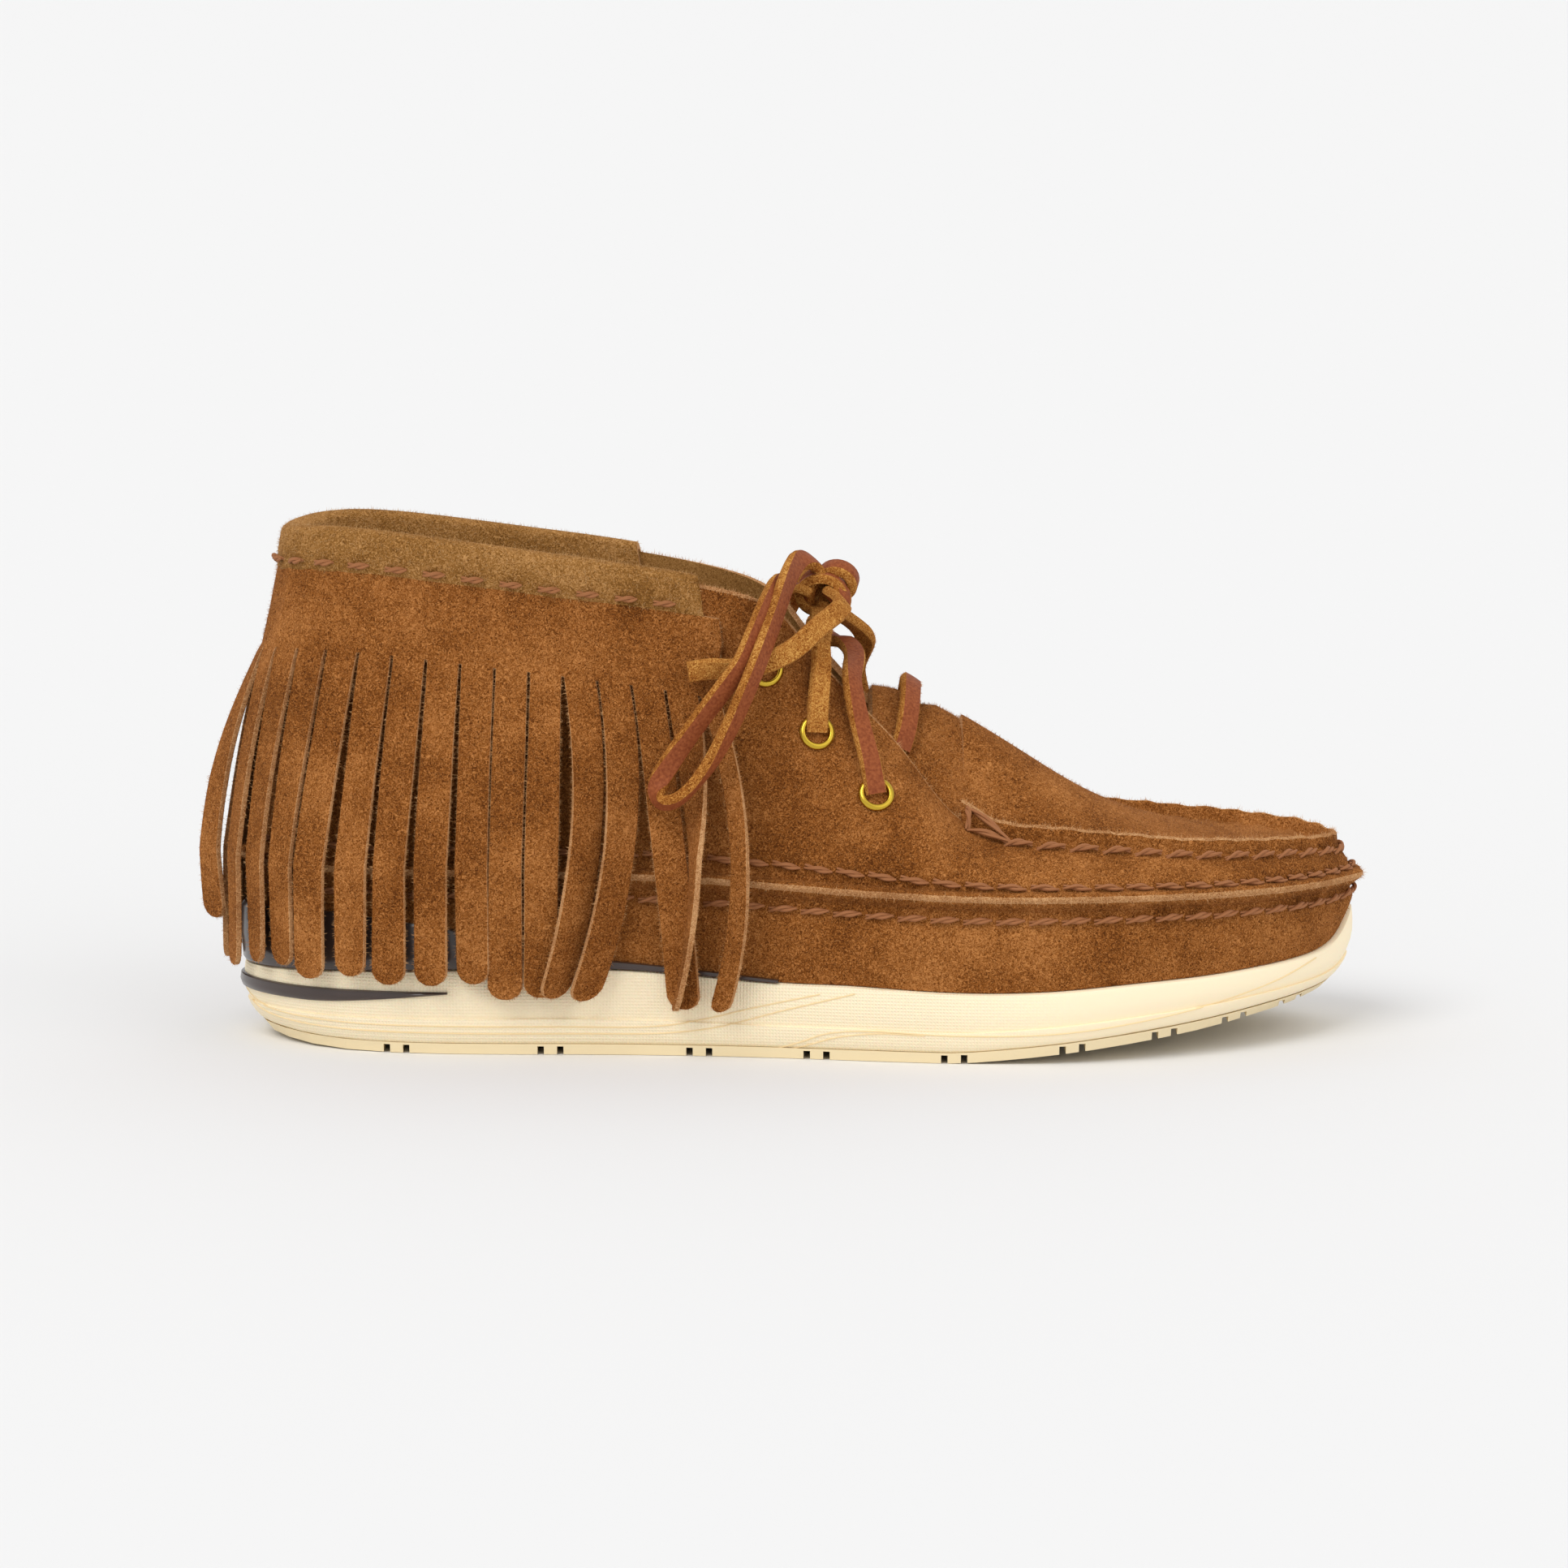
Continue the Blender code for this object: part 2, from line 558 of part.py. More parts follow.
def punch(name, radius, place, facing):
    """A round cutter through the wall."""
    mesh = bpy.data.meshes.new(name)
    work = bmesh.new()
    spin = facing.to_track_quat("Z", "Y").to_matrix().to_4x4()
    bmesh.ops.create_cone(work, cap_ends=True, segments=12, radius1=radius, radius2=radius,
                          depth=8 * WALL, matrix=Matrix.Translation(place) @ spin)
    work.to_mesh(mesh)
    work.free()
    obj = bpy.data.objects.new(name, mesh)
    bpy.context.scene.collection.objects.link(obj)
    return obj


def eyelets(finish):
    """Brass rings, set from outside: a flange on the suede and a barrel through it."""
    inner = EYELET_HOLE / 2
    barrel = inner + EYELET_BARREL
    seat = 2 * CLEARANCE
    top = seat + EYELET_FLANGE
    profile = ((inner, top), (EYELET_WIDTH / 2, top), (EYELET_WIDTH / 2, seat), (barrel, seat),
               (barrel, -WALL), (inner, -WALL))
    for number, (station, share) in enumerate(EYELETS):
        for side in ("lateral", "medial"):
            place, facing = quarter_point(station, share, side)
            turned(f"eyelet_{side}_{number + 1}", profile, place, facing, finish)


def tongue_sections(lift, per=FINE):
    """Sections of the tongue's face: under one quarter, over the instep, under the other."""
    points, _, faces = upper_skin()
    normals = point_normals(points, faces)
    count = len(upper_loops(per)[3])
    top_row = (len(LOWER_SHARES) + len(FIN_SHARES) + len(UPPER_SHARES) - 1) * count
    under_row = top_row - count
    crest = crest_heights(per)
    depth = WALL + 2 * CLEARANCE - lift
    shares = np.linspace(0, 1, APRON_STEPS + 1)
    sections = []
    for index in range(BAR_TACK * per, TONGUE_TOP * per // 2, -1):
        other = count - index
        ends = [points[row + i] - normals[row + i] * depth
                for row, i in ((under_row, index), (top_row, index), (top_row, other),
                               (under_row, other))]
        arch = apron_section(ends[1], ends[2], crest[index] - CLEARANCE + lift, shares)
        sections.append(np.array([ends[0], *arch, ends[3]]))
    back = 0.12 + 0.33 * np.abs(2 * np.array([0, *shares, 1]) - 1)[:, None] ** 3
    sections[0] = sections[0] * (1 - back) + sections[1] * back
    return sections


def tongue(finish):
    """The tongue: it carries on from the apron, under the edges of both quarters."""
    outer = tongue_sections(0.0)
    inner = tongue_sections(-TONGUE_WALL)
    faces = band_faces(len(outer), len(outer[0]), closed=False)
    return thickened("tongue", np.concatenate(outer), np.concatenate(inner), faces, finish)


def heel_counter(finish):
    """The moulded cup round the heel, tapering forward to a thin rim on the sole's edge."""
    stations = np.array([0, 1, 2, 3, 4, 5, 6])
    heights = np.array([0.62, 0.64, 0.66, 0.50, 0.17, 0.12, 0.10])
    order = np.arange(-6 * FINE, 6 * FINE + 1)
    tops = np.interp(np.abs(order) / FINE, stations, heights)
    share = np.zeros(len(upper_loops()[0]))
    share[order] = tops
    normal = upper_loops()[4]
    rows = [lower_wall(share * part)[order] for part in (0.0, 0.5, 1.0)]
    rows[0] = rows[0] + (0, 0, CLEARANCE)
    skin = np.concatenate(rows)
    faces = band_faces(3, len(order), closed=False)
    out = np.tile(normal[order], (3, 1))
    inner = skin + out * CLEARANCE * 1.5
    outer = skin + out * (CLEARANCE * 1.5 + COUNTER_WALL)
    return thickened("heel_counter", outer, inner, faces, finish)


def collar_frames(lateral_end, medial_end):
    """Points of the top edge between two ends, with the way out of the wall and the way down."""
    count = len(upper_loops()[3])
    order = np.arange(-medial_end, lateral_end + 1)
    top = upper_wall(1.0)
    below = upper_wall(0.85)
    down = below - top
    down /= np.linalg.norm(down, axis=1)[:, None]
    along = np.roll(top, -1, 0) - np.roll(top, 1, 0)
    out = np.cross(down, along)
    out /= np.linalg.norm(out, axis=1)[:, None]
    order = order % count
    return top[order], out[order], down[order]


def collar_cuff(finish):
    """Suede folded over the top line: an outer leaf, a fold, and a shorter inner leaf."""
    top, out, down = collar_frames(6 * FINE - 1, 6 * FINE - 2)
    inside = -WALL - 2 * CLEARANCE
    outside = CLEARANCE
    fold = -2 * CLEARANCE
    profile = (
        (outside, CUFF_DEPTH), (outside + CUFF_WALL, CUFF_DEPTH),
        (outside + 1.15 * CUFF_WALL, CUFF_DEPTH / 2), (outside + CUFF_WALL, fold),
        (outside, fold - CUFF_WALL), (inside, fold - CUFF_WALL), (inside - CUFF_WALL, fold),
        (inside - CUFF_WALL, CUFF_INNER_DEPTH), (inside, CUFF_INNER_DEPTH),
        (inside, fold), (outside, fold),
    )
    count = len(profile)
    points = [top[i] + out[i] * a + down[i] * b for i in range(len(top)) for a, b in profile]
    faces = []
    for i in range(len(top) - 1):
        for j in range(count):
            k = (j + 1) % count
            faces.append((i * count + j, (i + 1) * count + j, (i + 1) * count + k, i * count + k))
    last = (len(top) - 1) * count
    faces += [tuple(range(count)), tuple(range(last, last + count))]
    return mesh_object("collar_cuff", points, faces, finish)


def rail(line, shares):
    """Points at shares of a line's length."""
    steps = np.linalg.norm(np.diff(line, axis=0), axis=1)
    reach = np.concatenate([[0], np.cumsum(steps)])
    return np.column_stack([np.interp(np.asarray(shares) * reach[-1], reach, line[:, axis])
                            for axis in range(3)])


def fringe_rails():
    """Four lines round the ankle that the skirt hangs along, from the cuff to the strip ends."""
    per = 20
    top = upper_wall(1.0, per)
    count = len(top)
    columns = np.stack([upper_wall(share, per) for share in np.linspace(1, 0, 60)])
    drop = top[:, 2] - columns[:, :, 2]
    normal = outward(top[:, :2])
    rails = []
    for depth, standoff in ((CUFF_DEPTH + 2 * CLEARANCE, 0.0006), (CUFF_DEPTH + 0.010, 0.0012),
                            (CUFF_DEPTH + BAND, 0.0024)):
        line = np.empty((count, 3))
        for i in range(count):
            for axis in range(3):
                line[i, axis] = np.interp(depth, drop[:, i], columns[:, i, axis])
        line[:, :2] += normal * (standoff + FRINGE_WALL / 2)
        rails.append(front_to_front(line))
    plan, out, _, _, _, _ = sole_loops(per)
    low = plan + out * FRINGE_FLARE
    rails.append(front_to_front(with_height(low, SEAM_HEIGHT * 1.1)))
    return rails


def front_to_front(line):
    """The part of a loop behind the fringe's front edges, from lateral to medial."""
    half = len(line) // 2
    order = np.arange(half, -half, -1)
    run = line[order]
    front_lateral = FRINGE_FRONT * LENGTH - HEEL_SEAT
    lateral = run[:half][run[:half, 0] < front_lateral]
    medial = run[half:][run[half:, 0] < front_lateral - CUFF_SETBACK]
    return np.concatenate([lateral, medial])


def length_of(line):
    return np.linalg.norm(np.diff(line, axis=0), axis=1).sum()


def strip_edges():
    """Shares of the way round at which the skirt is cut: its first strip is narrower."""
    widths = np.ones(STRIP_COUNT)
    widths[0] = FIRST_STRIP
    return np.concatenate([[0], np.cumsum(widths)]) / widths.sum()


def low_spread(high, low):
    """Where each strip hangs on the low rail: straight down at the sides, fanned at the heel."""
    edges = strip_edges()
    middle = (edges[1:] + edges[:-1]) / 2 * high
    near = np.minimum(middle, high - middle)
    fan = np.clip((near - FAN_START) / (high / 2 - FAN_START), 0, 1)
    down = near + (low - high) / 2 * fan * fan * (3 - 2 * fan)
    return np.where(middle <= high / 2, down, low - down) / low


def strip_table():
    """For each strip: its drop, lean at the tip, turn halfway and at the tip, and stand-off."""
    rows = []
    for i in range(STRIP_COUNT):
        wave = math.sin(2.4 * i) + 0.6 * math.sin(5.1 * i + 1.0)
        rows.append((STRIP_LENGTH * (1 + 0.012 * wave), 0.0001 * wave, 2 * wave, 3 * wave,
                     0.0003 * wave))
    for i, row in FRONT_STRIPS.items():
        rows[i] = row
    return rows


def fringe(finish):
    """The suede skirt sewn under the cuff, its lower part cut into strips."""
    rails = fringe_rails()
    cuts = strip_edges()
    edges = np.repeat(cuts, 2)[1:-1]
    half_gap = STRIP_GAP / 2
    bands = []
    for line in rails[:3]:
        row = rail(line, edges)
        across = row[1::2] - row[::2]
        across /= np.linalg.norm(across, axis=1)[:, None]
        row[::2] += across * half_gap
        row[1::2] -= across * half_gap
        bands.append(row)
    count = len(edges)
    centre_high = rail(rails[2], (cuts[1:] + cuts[:-1]) / 2)
    width = np.linalg.norm(bands[2][1::2] - bands[2][::2], axis=1)
    spread = low_spread(length_of(rails[2]), length_of(rails[3]))
    low_line = rail(rails[3], spread)
    ends = rail(rails[3], np.clip(spread + 0.001, 0, 1)) - rail(rails[3], spread - 0.001)
    near = np.minimum(cuts[1:] + cuts[:-1], 2 - cuts[1:] - cuts[:-1])
    fan = STRIP_SPREAD * np.clip((near - 0.35) / 0.30, 0, 1)
    faces = band_faces(3, count, closed=False)
    points = np.concatenate(bands)
    normals = np.concatenate([skirt_facing(band) for band in bands])
    strips, strip_normals = [], []
    first = len(points)
    for i, (drop, lean, turn, tip_turn, stand) in enumerate(strip_table()):
        start = centre_high[i]
        side_high = bands[2][2 * i + 1] - bands[2][2 * i]
        side_high = side_high / np.linalg.norm(side_high)
        side_low = ends[i] / np.linalg.norm(ends[i])
        knee = low_line[i] + side_low * lean * 0.6
        slope = np.linalg.norm(knee - start)
        rest = drop - slope
        tip = knee + np.array([0, 0, -rest]) + side_low * lean * 0.4
        rows = []
        for reach, wide in STRIP_ROWS:
            gone = reach * drop
            if gone < slope:
                t = gone / slope
                place = start * (1 - t) + knee * t
                bend = math.sin(math.pi * t) * 0.0012
            else:
                t = (gone - slope) / rest
                place = knee * (1 - t) + tip * t
                bend = 0.0
            whole = gone / drop
            side = side_high * (1 - whole) + side_low * whole
            side /= np.linalg.norm(side)
            face = np.cross(side, (0, 0, -1.0))
            angle = math.radians(turn * min(1, 2 * whole) + (tip_turn - turn) * max(0, 2 * whole - 1))
            side_now = side * math.cos(angle) + face * math.sin(angle)
            face_now = face * math.cos(angle) - side * math.sin(angle)
            place = place + face * (bend + stand * math.sin(math.pi * min(1, whole * 1.1)))
            half = width[i] * wide * (1 + fan[i] * whole) / 2
            rows.append((place - side_now * half, face_now))
            rows.append((place + side_now * half, face_now))
        strips += [row[0] for row in rows]
        strip_normals += [row[1] for row in rows]
        begin = first + i * len(rows)
        faces.append((2 * count + 2 * i, 2 * count + 2 * i + 1, begin + 1, begin))
        faces += [(begin + 2 * j, begin + 2 * j + 1, begin + 2 * j + 3, begin + 2 * j + 2)
                  for j in range(len(STRIP_ROWS) - 1)]
    points = np.concatenate([points, strips])
    normals = np.concatenate([normals, strip_normals])
    outer = points + normals * FRINGE_WALL / 2
    inner = points - normals * FRINGE_WALL / 2
    return thickened("fringe", outer, inner, faces, finish)


def skirt_facing(row):
    """The way each point of an open line round the ankle faces, in plan."""
    along = np.gradient(row, axis=0)
    normal = np.stack([-along[:, 1], along[:, 0], np.zeros(len(row))], 1)
    return normal / np.linalg.norm(normal, axis=1)[:, None]


def smooth_line(route, steps):
    """A curve through a route's points, with equal steps between two points."""
    route = np.asarray(route, float)
    points = []
    padded = np.concatenate([[2 * route[0] - route[1]], route, [2 * route[-1] - route[-2]]])
    for i in range(1, len(padded) - 2):
        a, b, c, d = padded[i - 1:i + 3]
        for step in range(steps):
            t = step / steps
            points.append(0.5 * (2 * b + (c - a) * t + (2 * a - 5 * b + 4 * c - d) * t**2
                                 + (3 * b - a - 3 * c + d) * t**3))
    points.append(route[-1])
    return np.array(points)


def strap(name, line, facing, finish):
    """A flat lace along a line, with its flat side facing the given ways."""
    along = np.gradient(line, axis=0)
    along /= np.linalg.norm(along, axis=1)[:, None]
    facing = facing - along * np.sum(facing * along, axis=1)[:, None]
    facing /= np.linalg.norm(facing, axis=1)[:, None]
    across = np.cross(along, facing)
    points = []
    for place, out, side in zip(line, facing, across):
        for a, b in ((-1, -1), (1, -1), (1, 1), (-1, 1)):
            points.append(place + side * a * LACE_WIDTH / 2 + out * b * LACE_THICKNESS / 2)
    count = len(line)
    faces = [(4 * i + j, 4 * i + 4 + j, 4 * i + 4 + (j + 1) % 4, 4 * i + (j + 1) % 4)
             for i in range(count - 1) for j in range(4)]
    faces += [(0, 1, 2, 3), tuple(range(4 * count - 4, 4 * count))]
    return mesh_object(name, points, faces, finish)


def millimetres(route):
    return np.asarray(route, float) / 1000


def lace_route(route):
    """The places of a route over the quarters, and the way that the lace faces at each."""
    places, ways = [], []
    for stop in route:
        if len(stop) == 4:
            side, station, share, lift = stop
            place, way = quarter_point(station, share, side)
            places.append(np.array(place) + np.array(way) * lift / 1000)
            ways.append(np.array(way))
        else:
            places.append(millimetres(stop))
            ways.append(places[-1] - INSTEP_AXIS)
            ways[-1] /= np.linalg.norm(ways[-1])
    return smooth_line(places, 2), smooth_line(ways, 2)


def laces(finish):
    """The lace's bar and crossings between the quarters."""
    strap("lace_cross", *lace_route(LACE_CROSS), finish)
    risers = strap("lace_risers", *lace_route(LACE_NEAR), finish)
    cut(risers, strap("far_riser", *lace_route(LACE_FAR), finish), "UNION")
    strap("lace_bar_low", *lace_route(LACE_BAR), finish)


def cord(name, route, finish):
    """A tube along a smooth curve through the points of its route."""
    curve = bpy.data.curves.new(name, "CURVE")
    curve.dimensions = "3D"
    curve.bevel_depth = LACE_TUBE / 2
    curve.bevel_resolution = 2
    curve.use_fill_caps = True
    places = millimetres(route)
    fine = smooth_line(places, 12)
    reach = np.linalg.norm(np.diff(fine, axis=0), axis=1).sum()
    spaced = rail(fine, np.linspace(0, 1, max(4, round(reach / (2.2 * LACE_TUBE)))))
    spline = curve.splines.new("POLY")
    spline.points.add(len(spaced) - 1)
    for point, place in zip(spline.points, spaced):
        point.co = (*place, 1)
    curve.materials.append(finish)
    obj = bpy.data.objects.new(name, curve)
    bpy.context.scene.collection.objects.link(obj)
    return obj


def knot(finish):
    """The bow's knot, as one rounded lump."""
    mesh = bpy.data.meshes.new("lace_knot")
    work = bmesh.new()
    bmesh.ops.create_icosphere(work, subdivisions=2, radius=1.0)
    size = Matrix.Diagonal((*millimetres(KNOT_SIZE), 1))
    bmesh.ops.transform(work, matrix=Matrix.Translation(millimetres(KNOT_PLACE)) @ size,
                        verts=work.verts)
    work.to_mesh(mesh)
    work.free()
    mesh.shade_smooth()
    mesh.materials.append(finish)
    obj = bpy.data.objects.new("lace_knot", mesh)
    bpy.context.scene.collection.objects.link(obj)


def material(name, colour, roughness, metallic=0.0):
    finish = bpy.data.materials.new(name)
    finish.use_nodes = True
    shader = finish.node_tree.nodes["Principled BSDF"]
    shader.inputs["Base Color"].default_value = (*colour, 1)
    shader.inputs["Roughness"].default_value = roughness
    shader.inputs["Metallic"].default_value = metallic
    return finish


def clear_scene():
    for obj in list(bpy.data.objects):
        bpy.data.objects.remove(obj, do_unlink=True)


clear_scene()
suede = material("suede", (0.27, 0.11, 0.022), 0.95)
nap = material("cuff_suede", (0.34, 0.16, 0.045), 0.95)
foam = material("cream_foam", (0.93, 0.82, 0.58), 0.55)
rubber = material("cream_rubber", (0.85, 0.72, 0.46), 0.5)
plastic = material("brown_plastic", (0.04, 0.03, 0.025), 0.25)
brass = material("brass", (0.70, 0.50, 0.16), 0.25, 1.0)
leather = material("lace_leather", (0.35, 0.10, 0.04), 0.6)
liner = material("sock_liner", (0.30, 0.20, 0.10), 0.8)

outsole(rubber)
midsole(foam)
heel_band(plastic)
insole(liner)
upper(suede)
tongue(suede)
heel_counter(plastic)
collar_cuff(nap)
fringe(suede)
eyelets(brass)
laces(leather)
cord("lace_loop_near", LOOP_NEAR, leather)
cord("lace_loop_far", LOOP_FAR, leather)
cord("lace_end_near", END_NEAR, leather)
knot(leather)
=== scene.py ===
"""The looks of a right suede moccasin boot with a fringe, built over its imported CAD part.

X runs heel to toe, the lateral side is at -Y and the floor is Z = 0, all in metres.
"""

import math

import bmesh
import bpy
import numpy as np
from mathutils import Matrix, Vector


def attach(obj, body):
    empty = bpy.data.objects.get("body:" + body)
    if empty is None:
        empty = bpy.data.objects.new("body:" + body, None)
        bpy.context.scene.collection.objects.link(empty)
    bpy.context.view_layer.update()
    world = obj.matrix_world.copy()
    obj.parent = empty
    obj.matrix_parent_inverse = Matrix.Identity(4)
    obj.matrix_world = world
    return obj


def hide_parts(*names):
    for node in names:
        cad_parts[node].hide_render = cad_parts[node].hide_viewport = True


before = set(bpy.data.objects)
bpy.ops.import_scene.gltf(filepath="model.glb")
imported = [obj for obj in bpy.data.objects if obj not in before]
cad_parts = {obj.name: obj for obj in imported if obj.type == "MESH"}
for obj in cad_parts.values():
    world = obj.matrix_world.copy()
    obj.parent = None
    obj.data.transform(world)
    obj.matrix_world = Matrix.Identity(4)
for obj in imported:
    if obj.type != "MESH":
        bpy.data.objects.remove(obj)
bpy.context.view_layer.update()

# Upper: one wall of brushed brown suede, lasted and drawn up by hand sewing into two puckered ridges.
# The lower ridge runs round the whole shoe, the upper one frames the apron over the toes. Its shape
# comes from the same sizes and stations as the CAD part, sampled more finely, in metres.

LENGTH = 0.296
BALL_WIDTH = 0.100
RIM_HEIGHT = 0.022
TOE_SPRING = 0.0103
SEAM_HEIGHT = 0.0450
INSTEP_HEIGHT = 0.0850
SHAFT_HEIGHT = 0.1330
HEEL_SEAT = 0.056
CLEARANCE = 0.0003
TUCK = 0.0130
WALL = 0.0022
FEATHER_INSET = 0.0020
SEAM_INSET = 0.0030
LOWER_BELLY = 0.0012
BELLY = 0.0040
SEAM_BASE = 0.0052
BAR_TACK = 10
FINE = 8
SEAM_FIN = 0.0036
SEAM_RISE = 0.0012
RIDGE_BASE = 0.0036
RIDGE_FIN = 0.0036
STITCH_PITCH = 0.0086
LOWER_SHARES = np.linspace(0, 1, 9)
FIN_SHARES = (0.12, 0.30, 0.44, 0.60, 0.78, 0.92)
FIN_HEIGHTS = (0.25, 0.80, 1.00, 0.98, 0.72, 0.20)
# The last row but one marks off the pale cut edge round the throat.
UPPER_SHARES = np.array([*np.linspace(0, 1, 22)[:-1], 0.987, 1.0])
RIDGE_SHARES = (0.10, 0.26, 0.44, 0.62, 0.80, 0.95)
RIDGE_HEIGHTS = (0.90, 1.05, 1.00, 0.70, 0.25, 0.0)
APRON_STEPS = 30
SEAM_PULL = 0.00035
RIDGE_PULL = 0.0004
APRON_SWELL = 0.0007
SWELL_REACH = 0.006
HAIR_WIDTH = 0.00011
# The rows of the upper's skin: the first one on the seam's fin, the first above it, and the top edge.
FIN_ROW = len(LOWER_SHARES)
UPPER_ROW = FIN_ROW + len(FIN_SHARES)
TOP_ROW = UPPER_ROW + len(UPPER_SHARES) - 1

# One row for each station, heel back to toe tip. "along" is a share of LENGTH, "lateral" and
# "medial" of BALL_WIDTH, "rim" and "floor" of RIM_HEIGHT, "spring" of TOE_SPRING, "tuck" of TUCK.
SOLE_COLUMNS = ("along", "lateral", "medial", "rim", "floor", "spring", "tuck")
SOLE = (
    (0.000, 0.000, 0.000, 0.90, 0.76, 0.15, 0.55),
    (0.030, -0.190, 0.190, 0.92, 0.76, 0.10, 0.46),
    (0.095, -0.315, 0.305, 0.97, 0.78, 0.02, 0.28),
    (0.190, -0.368, 0.345, 1.01, 0.80, 0.00, 0.20),
    (0.300, -0.373, 0.322, 1.04, 0.79, 0.00, 0.18),
    (0.400, -0.390, 0.296, 0.98, 0.75, 0.00, 0.18),
    (0.480, -0.422, 0.302, 0.90, 0.70, 0.00, 0.18),
    (0.535, -0.454, 0.330, 0.89, 0.67, 0.00, 0.18),
    (0.585, -0.482, 0.374, 0.86, 0.65, 0.00, 0.18),
    (0.630, -0.502, 0.412, 0.84, 0.63, 0.00, 0.18),
    (0.675, -0.514, 0.446, 0.84, 0.63, 0.09, 0.20),
    (0.730, -0.514, 0.476, 0.87, 0.65, 0.25, 0.22),
    (0.790, -0.475, 0.488, 0.92, 0.68, 0.43, 0.26),
    (0.855, -0.388, 0.466, 0.95, 0.73, 0.62, 0.34),
    (0.910, -0.280, 0.410, 0.99, 0.78, 0.80, 0.46),
    (0.955, -0.145, 0.325, 1.03, 0.82, 0.91, 0.56),
    (0.987, 0.005, 0.225, 1.18, 0.85, 0.97, 0.64),
    (1.000, 0.110, 0.110, 1.48, 0.86, 1.00, 0.68),
)

# The same stations on the upper. "inset" is a share of SEAM_INSET and "seam" of SEAM_HEIGHT, for
# the lower seam. The rest is the top edge: collar, then throat, then apron ridge round the toe.
# "top" and "crest" are shares of SHAFT_HEIGHT and INSTEP_HEIGHT, the bellies of BELLY.
UPPER_COLUMNS = (
    "inset", "seam", "along", "lateral", "medial", "top", "belly_lateral", "belly_medial", "crest"
)
UPPER = (
    (1.10, 1.055, 0.0456, 0.000, 0.000, 1.000, 0.0, 0.0, 1.300),
    (1.00, 1.055, 0.0560, -0.145, 0.140, 1.006, 0.0, 0.0, 1.300),
    (0.90, 1.055, 0.0970, -0.255, 0.250, 1.010, -0.3, -0.3, 1.300),
    (0.85, 1.050, 0.1700, -0.300, 0.293, 0.995, -0.6, -0.6, 1.300),
    (0.85, 1.040, 0.2620, -0.310, 0.300, 0.968, -0.7, -0.7, 1.300),
    (0.90, 1.020, 0.3550, -0.300, 0.290, 0.940, -0.5, -0.7, 1.300),
    (0.95, 0.990, 0.4566, -0.245, 0.225, 0.893, 0.2, -0.2, 1.260),
    (1.00, 0.970, 0.5000, -0.215, 0.195, 0.813, 0.8, 0.5, 1.200),
    (1.05, 0.955, 0.5450, -0.205, 0.180, 0.696, 1.1, 0.9, 1.135),
    (1.10, 0.945, 0.5920, -0.235, 0.205, 0.585, 1.1, 1.0, 1.073),
    (1.20, 0.940, 0.6410, -0.290, 0.250, 0.458, 0.7, 0.7, 1.000),
    (1.25, 0.940, 0.7050, -0.325, 0.290, 0.421, 0.6, 0.6, 0.865),
    (1.20, 0.935, 0.7700, -0.325, 0.325, 0.410, 0.5, 0.5, 0.735),
    (1.05, 0.925, 0.8450, -0.270, 0.360, 0.391, 0.4, 0.4, 0.645),
    (0.85, 0.915, 0.9070, -0.175, 0.345, 0.380, 0.3, 0.3, 0.608),
    (0.65, 0.905, 0.9500, -0.065, 0.285, 0.372, 0.2, 0.2, 0.594),
    (0.50, 0.895, 0.9760, 0.035, 0.205, 0.365, 0.1, 0.1, 0.583),
    (0.45, 0.890, 0.9850, 0.120, 0.120, 0.361, 0.1, 0.1, 0.578),
)


def smooth_loop(values, per):
    """A closed cubic curve through rows of values, with per points to each interval."""
    values = np.asarray(values, float)
    after = np.roll(values, -1, 0)
    ones = np.eye(len(values))
    matrix = 4 * ones + np.roll(ones, 1, 0) + np.roll(ones, -1, 0)
    bend = np.linalg.solve(matrix, 6 * (after - 2 * values + np.roll(values, 1, 0)))
    next_bend = np.roll(bend, -1, 0)
    steps = []
    for step in range(per):
        t = step / per
        s = 1 - t
        curve = ((s**3 - s) * bend + (t**3 - t) * next_bend) / 6
        steps.append(s * values + t * after + curve)
    return np.stack(steps, 1).reshape(len(values) * per, -1)


def loop_of(table, columns, lateral, medial, per):
    """Named columns of a table, out along the lateral side and back along the medial one."""
    out = [[row[columns.index(name)] for name in lateral] for row in table]
    back = [[row[columns.index(name)] for name in medial] for row in table[-2:0:-1]]
    return smooth_loop(out + back, per)


def outward(plan):
    """Unit vectors in plan, square to a loop and pointing out of it."""
    along = np.roll(plan, -1, 0) - np.roll(plan, 1, 0)
    normal = np.stack([along[:, 1], -along[:, 0]], 1)
    return normal / np.linalg.norm(normal, axis=1)[:, None]


def with_height(plan, height):
    return np.column_stack([plan, np.broadcast_to(height, len(plan))])


def sole_loops(per=FINE):
    """The sole's outline, its outward normals, and its rim, floor, spring and tuck."""
    edge = loop_of(SOLE, SOLE_COLUMNS, ("along", "lateral"), ("along", "medial"), per)
    plan = edge * (LENGTH, BALL_WIDTH) - (HEEL_SEAT, 0)
    names = ("rim", "floor", "spring", "tuck")
    rim, floor, spring, tuck = loop_of(SOLE, SOLE_COLUMNS, names, names, per).T
    spring = np.maximum(spring, 0) * TOE_SPRING
    return plan, outward(plan), rim * RIM_HEIGHT, floor * RIM_HEIGHT, spring, tuck * TUCK


def band_faces(rows, count, closed=True):
    """Quads between the rows of a grid whose points run along each row in turn."""
    steps = count if closed else count - 1
    faces = []
    for row in range(rows - 1):
        for i in range(steps):
            a, b = row * count + i, row * count + (i + 1) % count
            faces.append((a, b, b + count, a + count))
    return faces


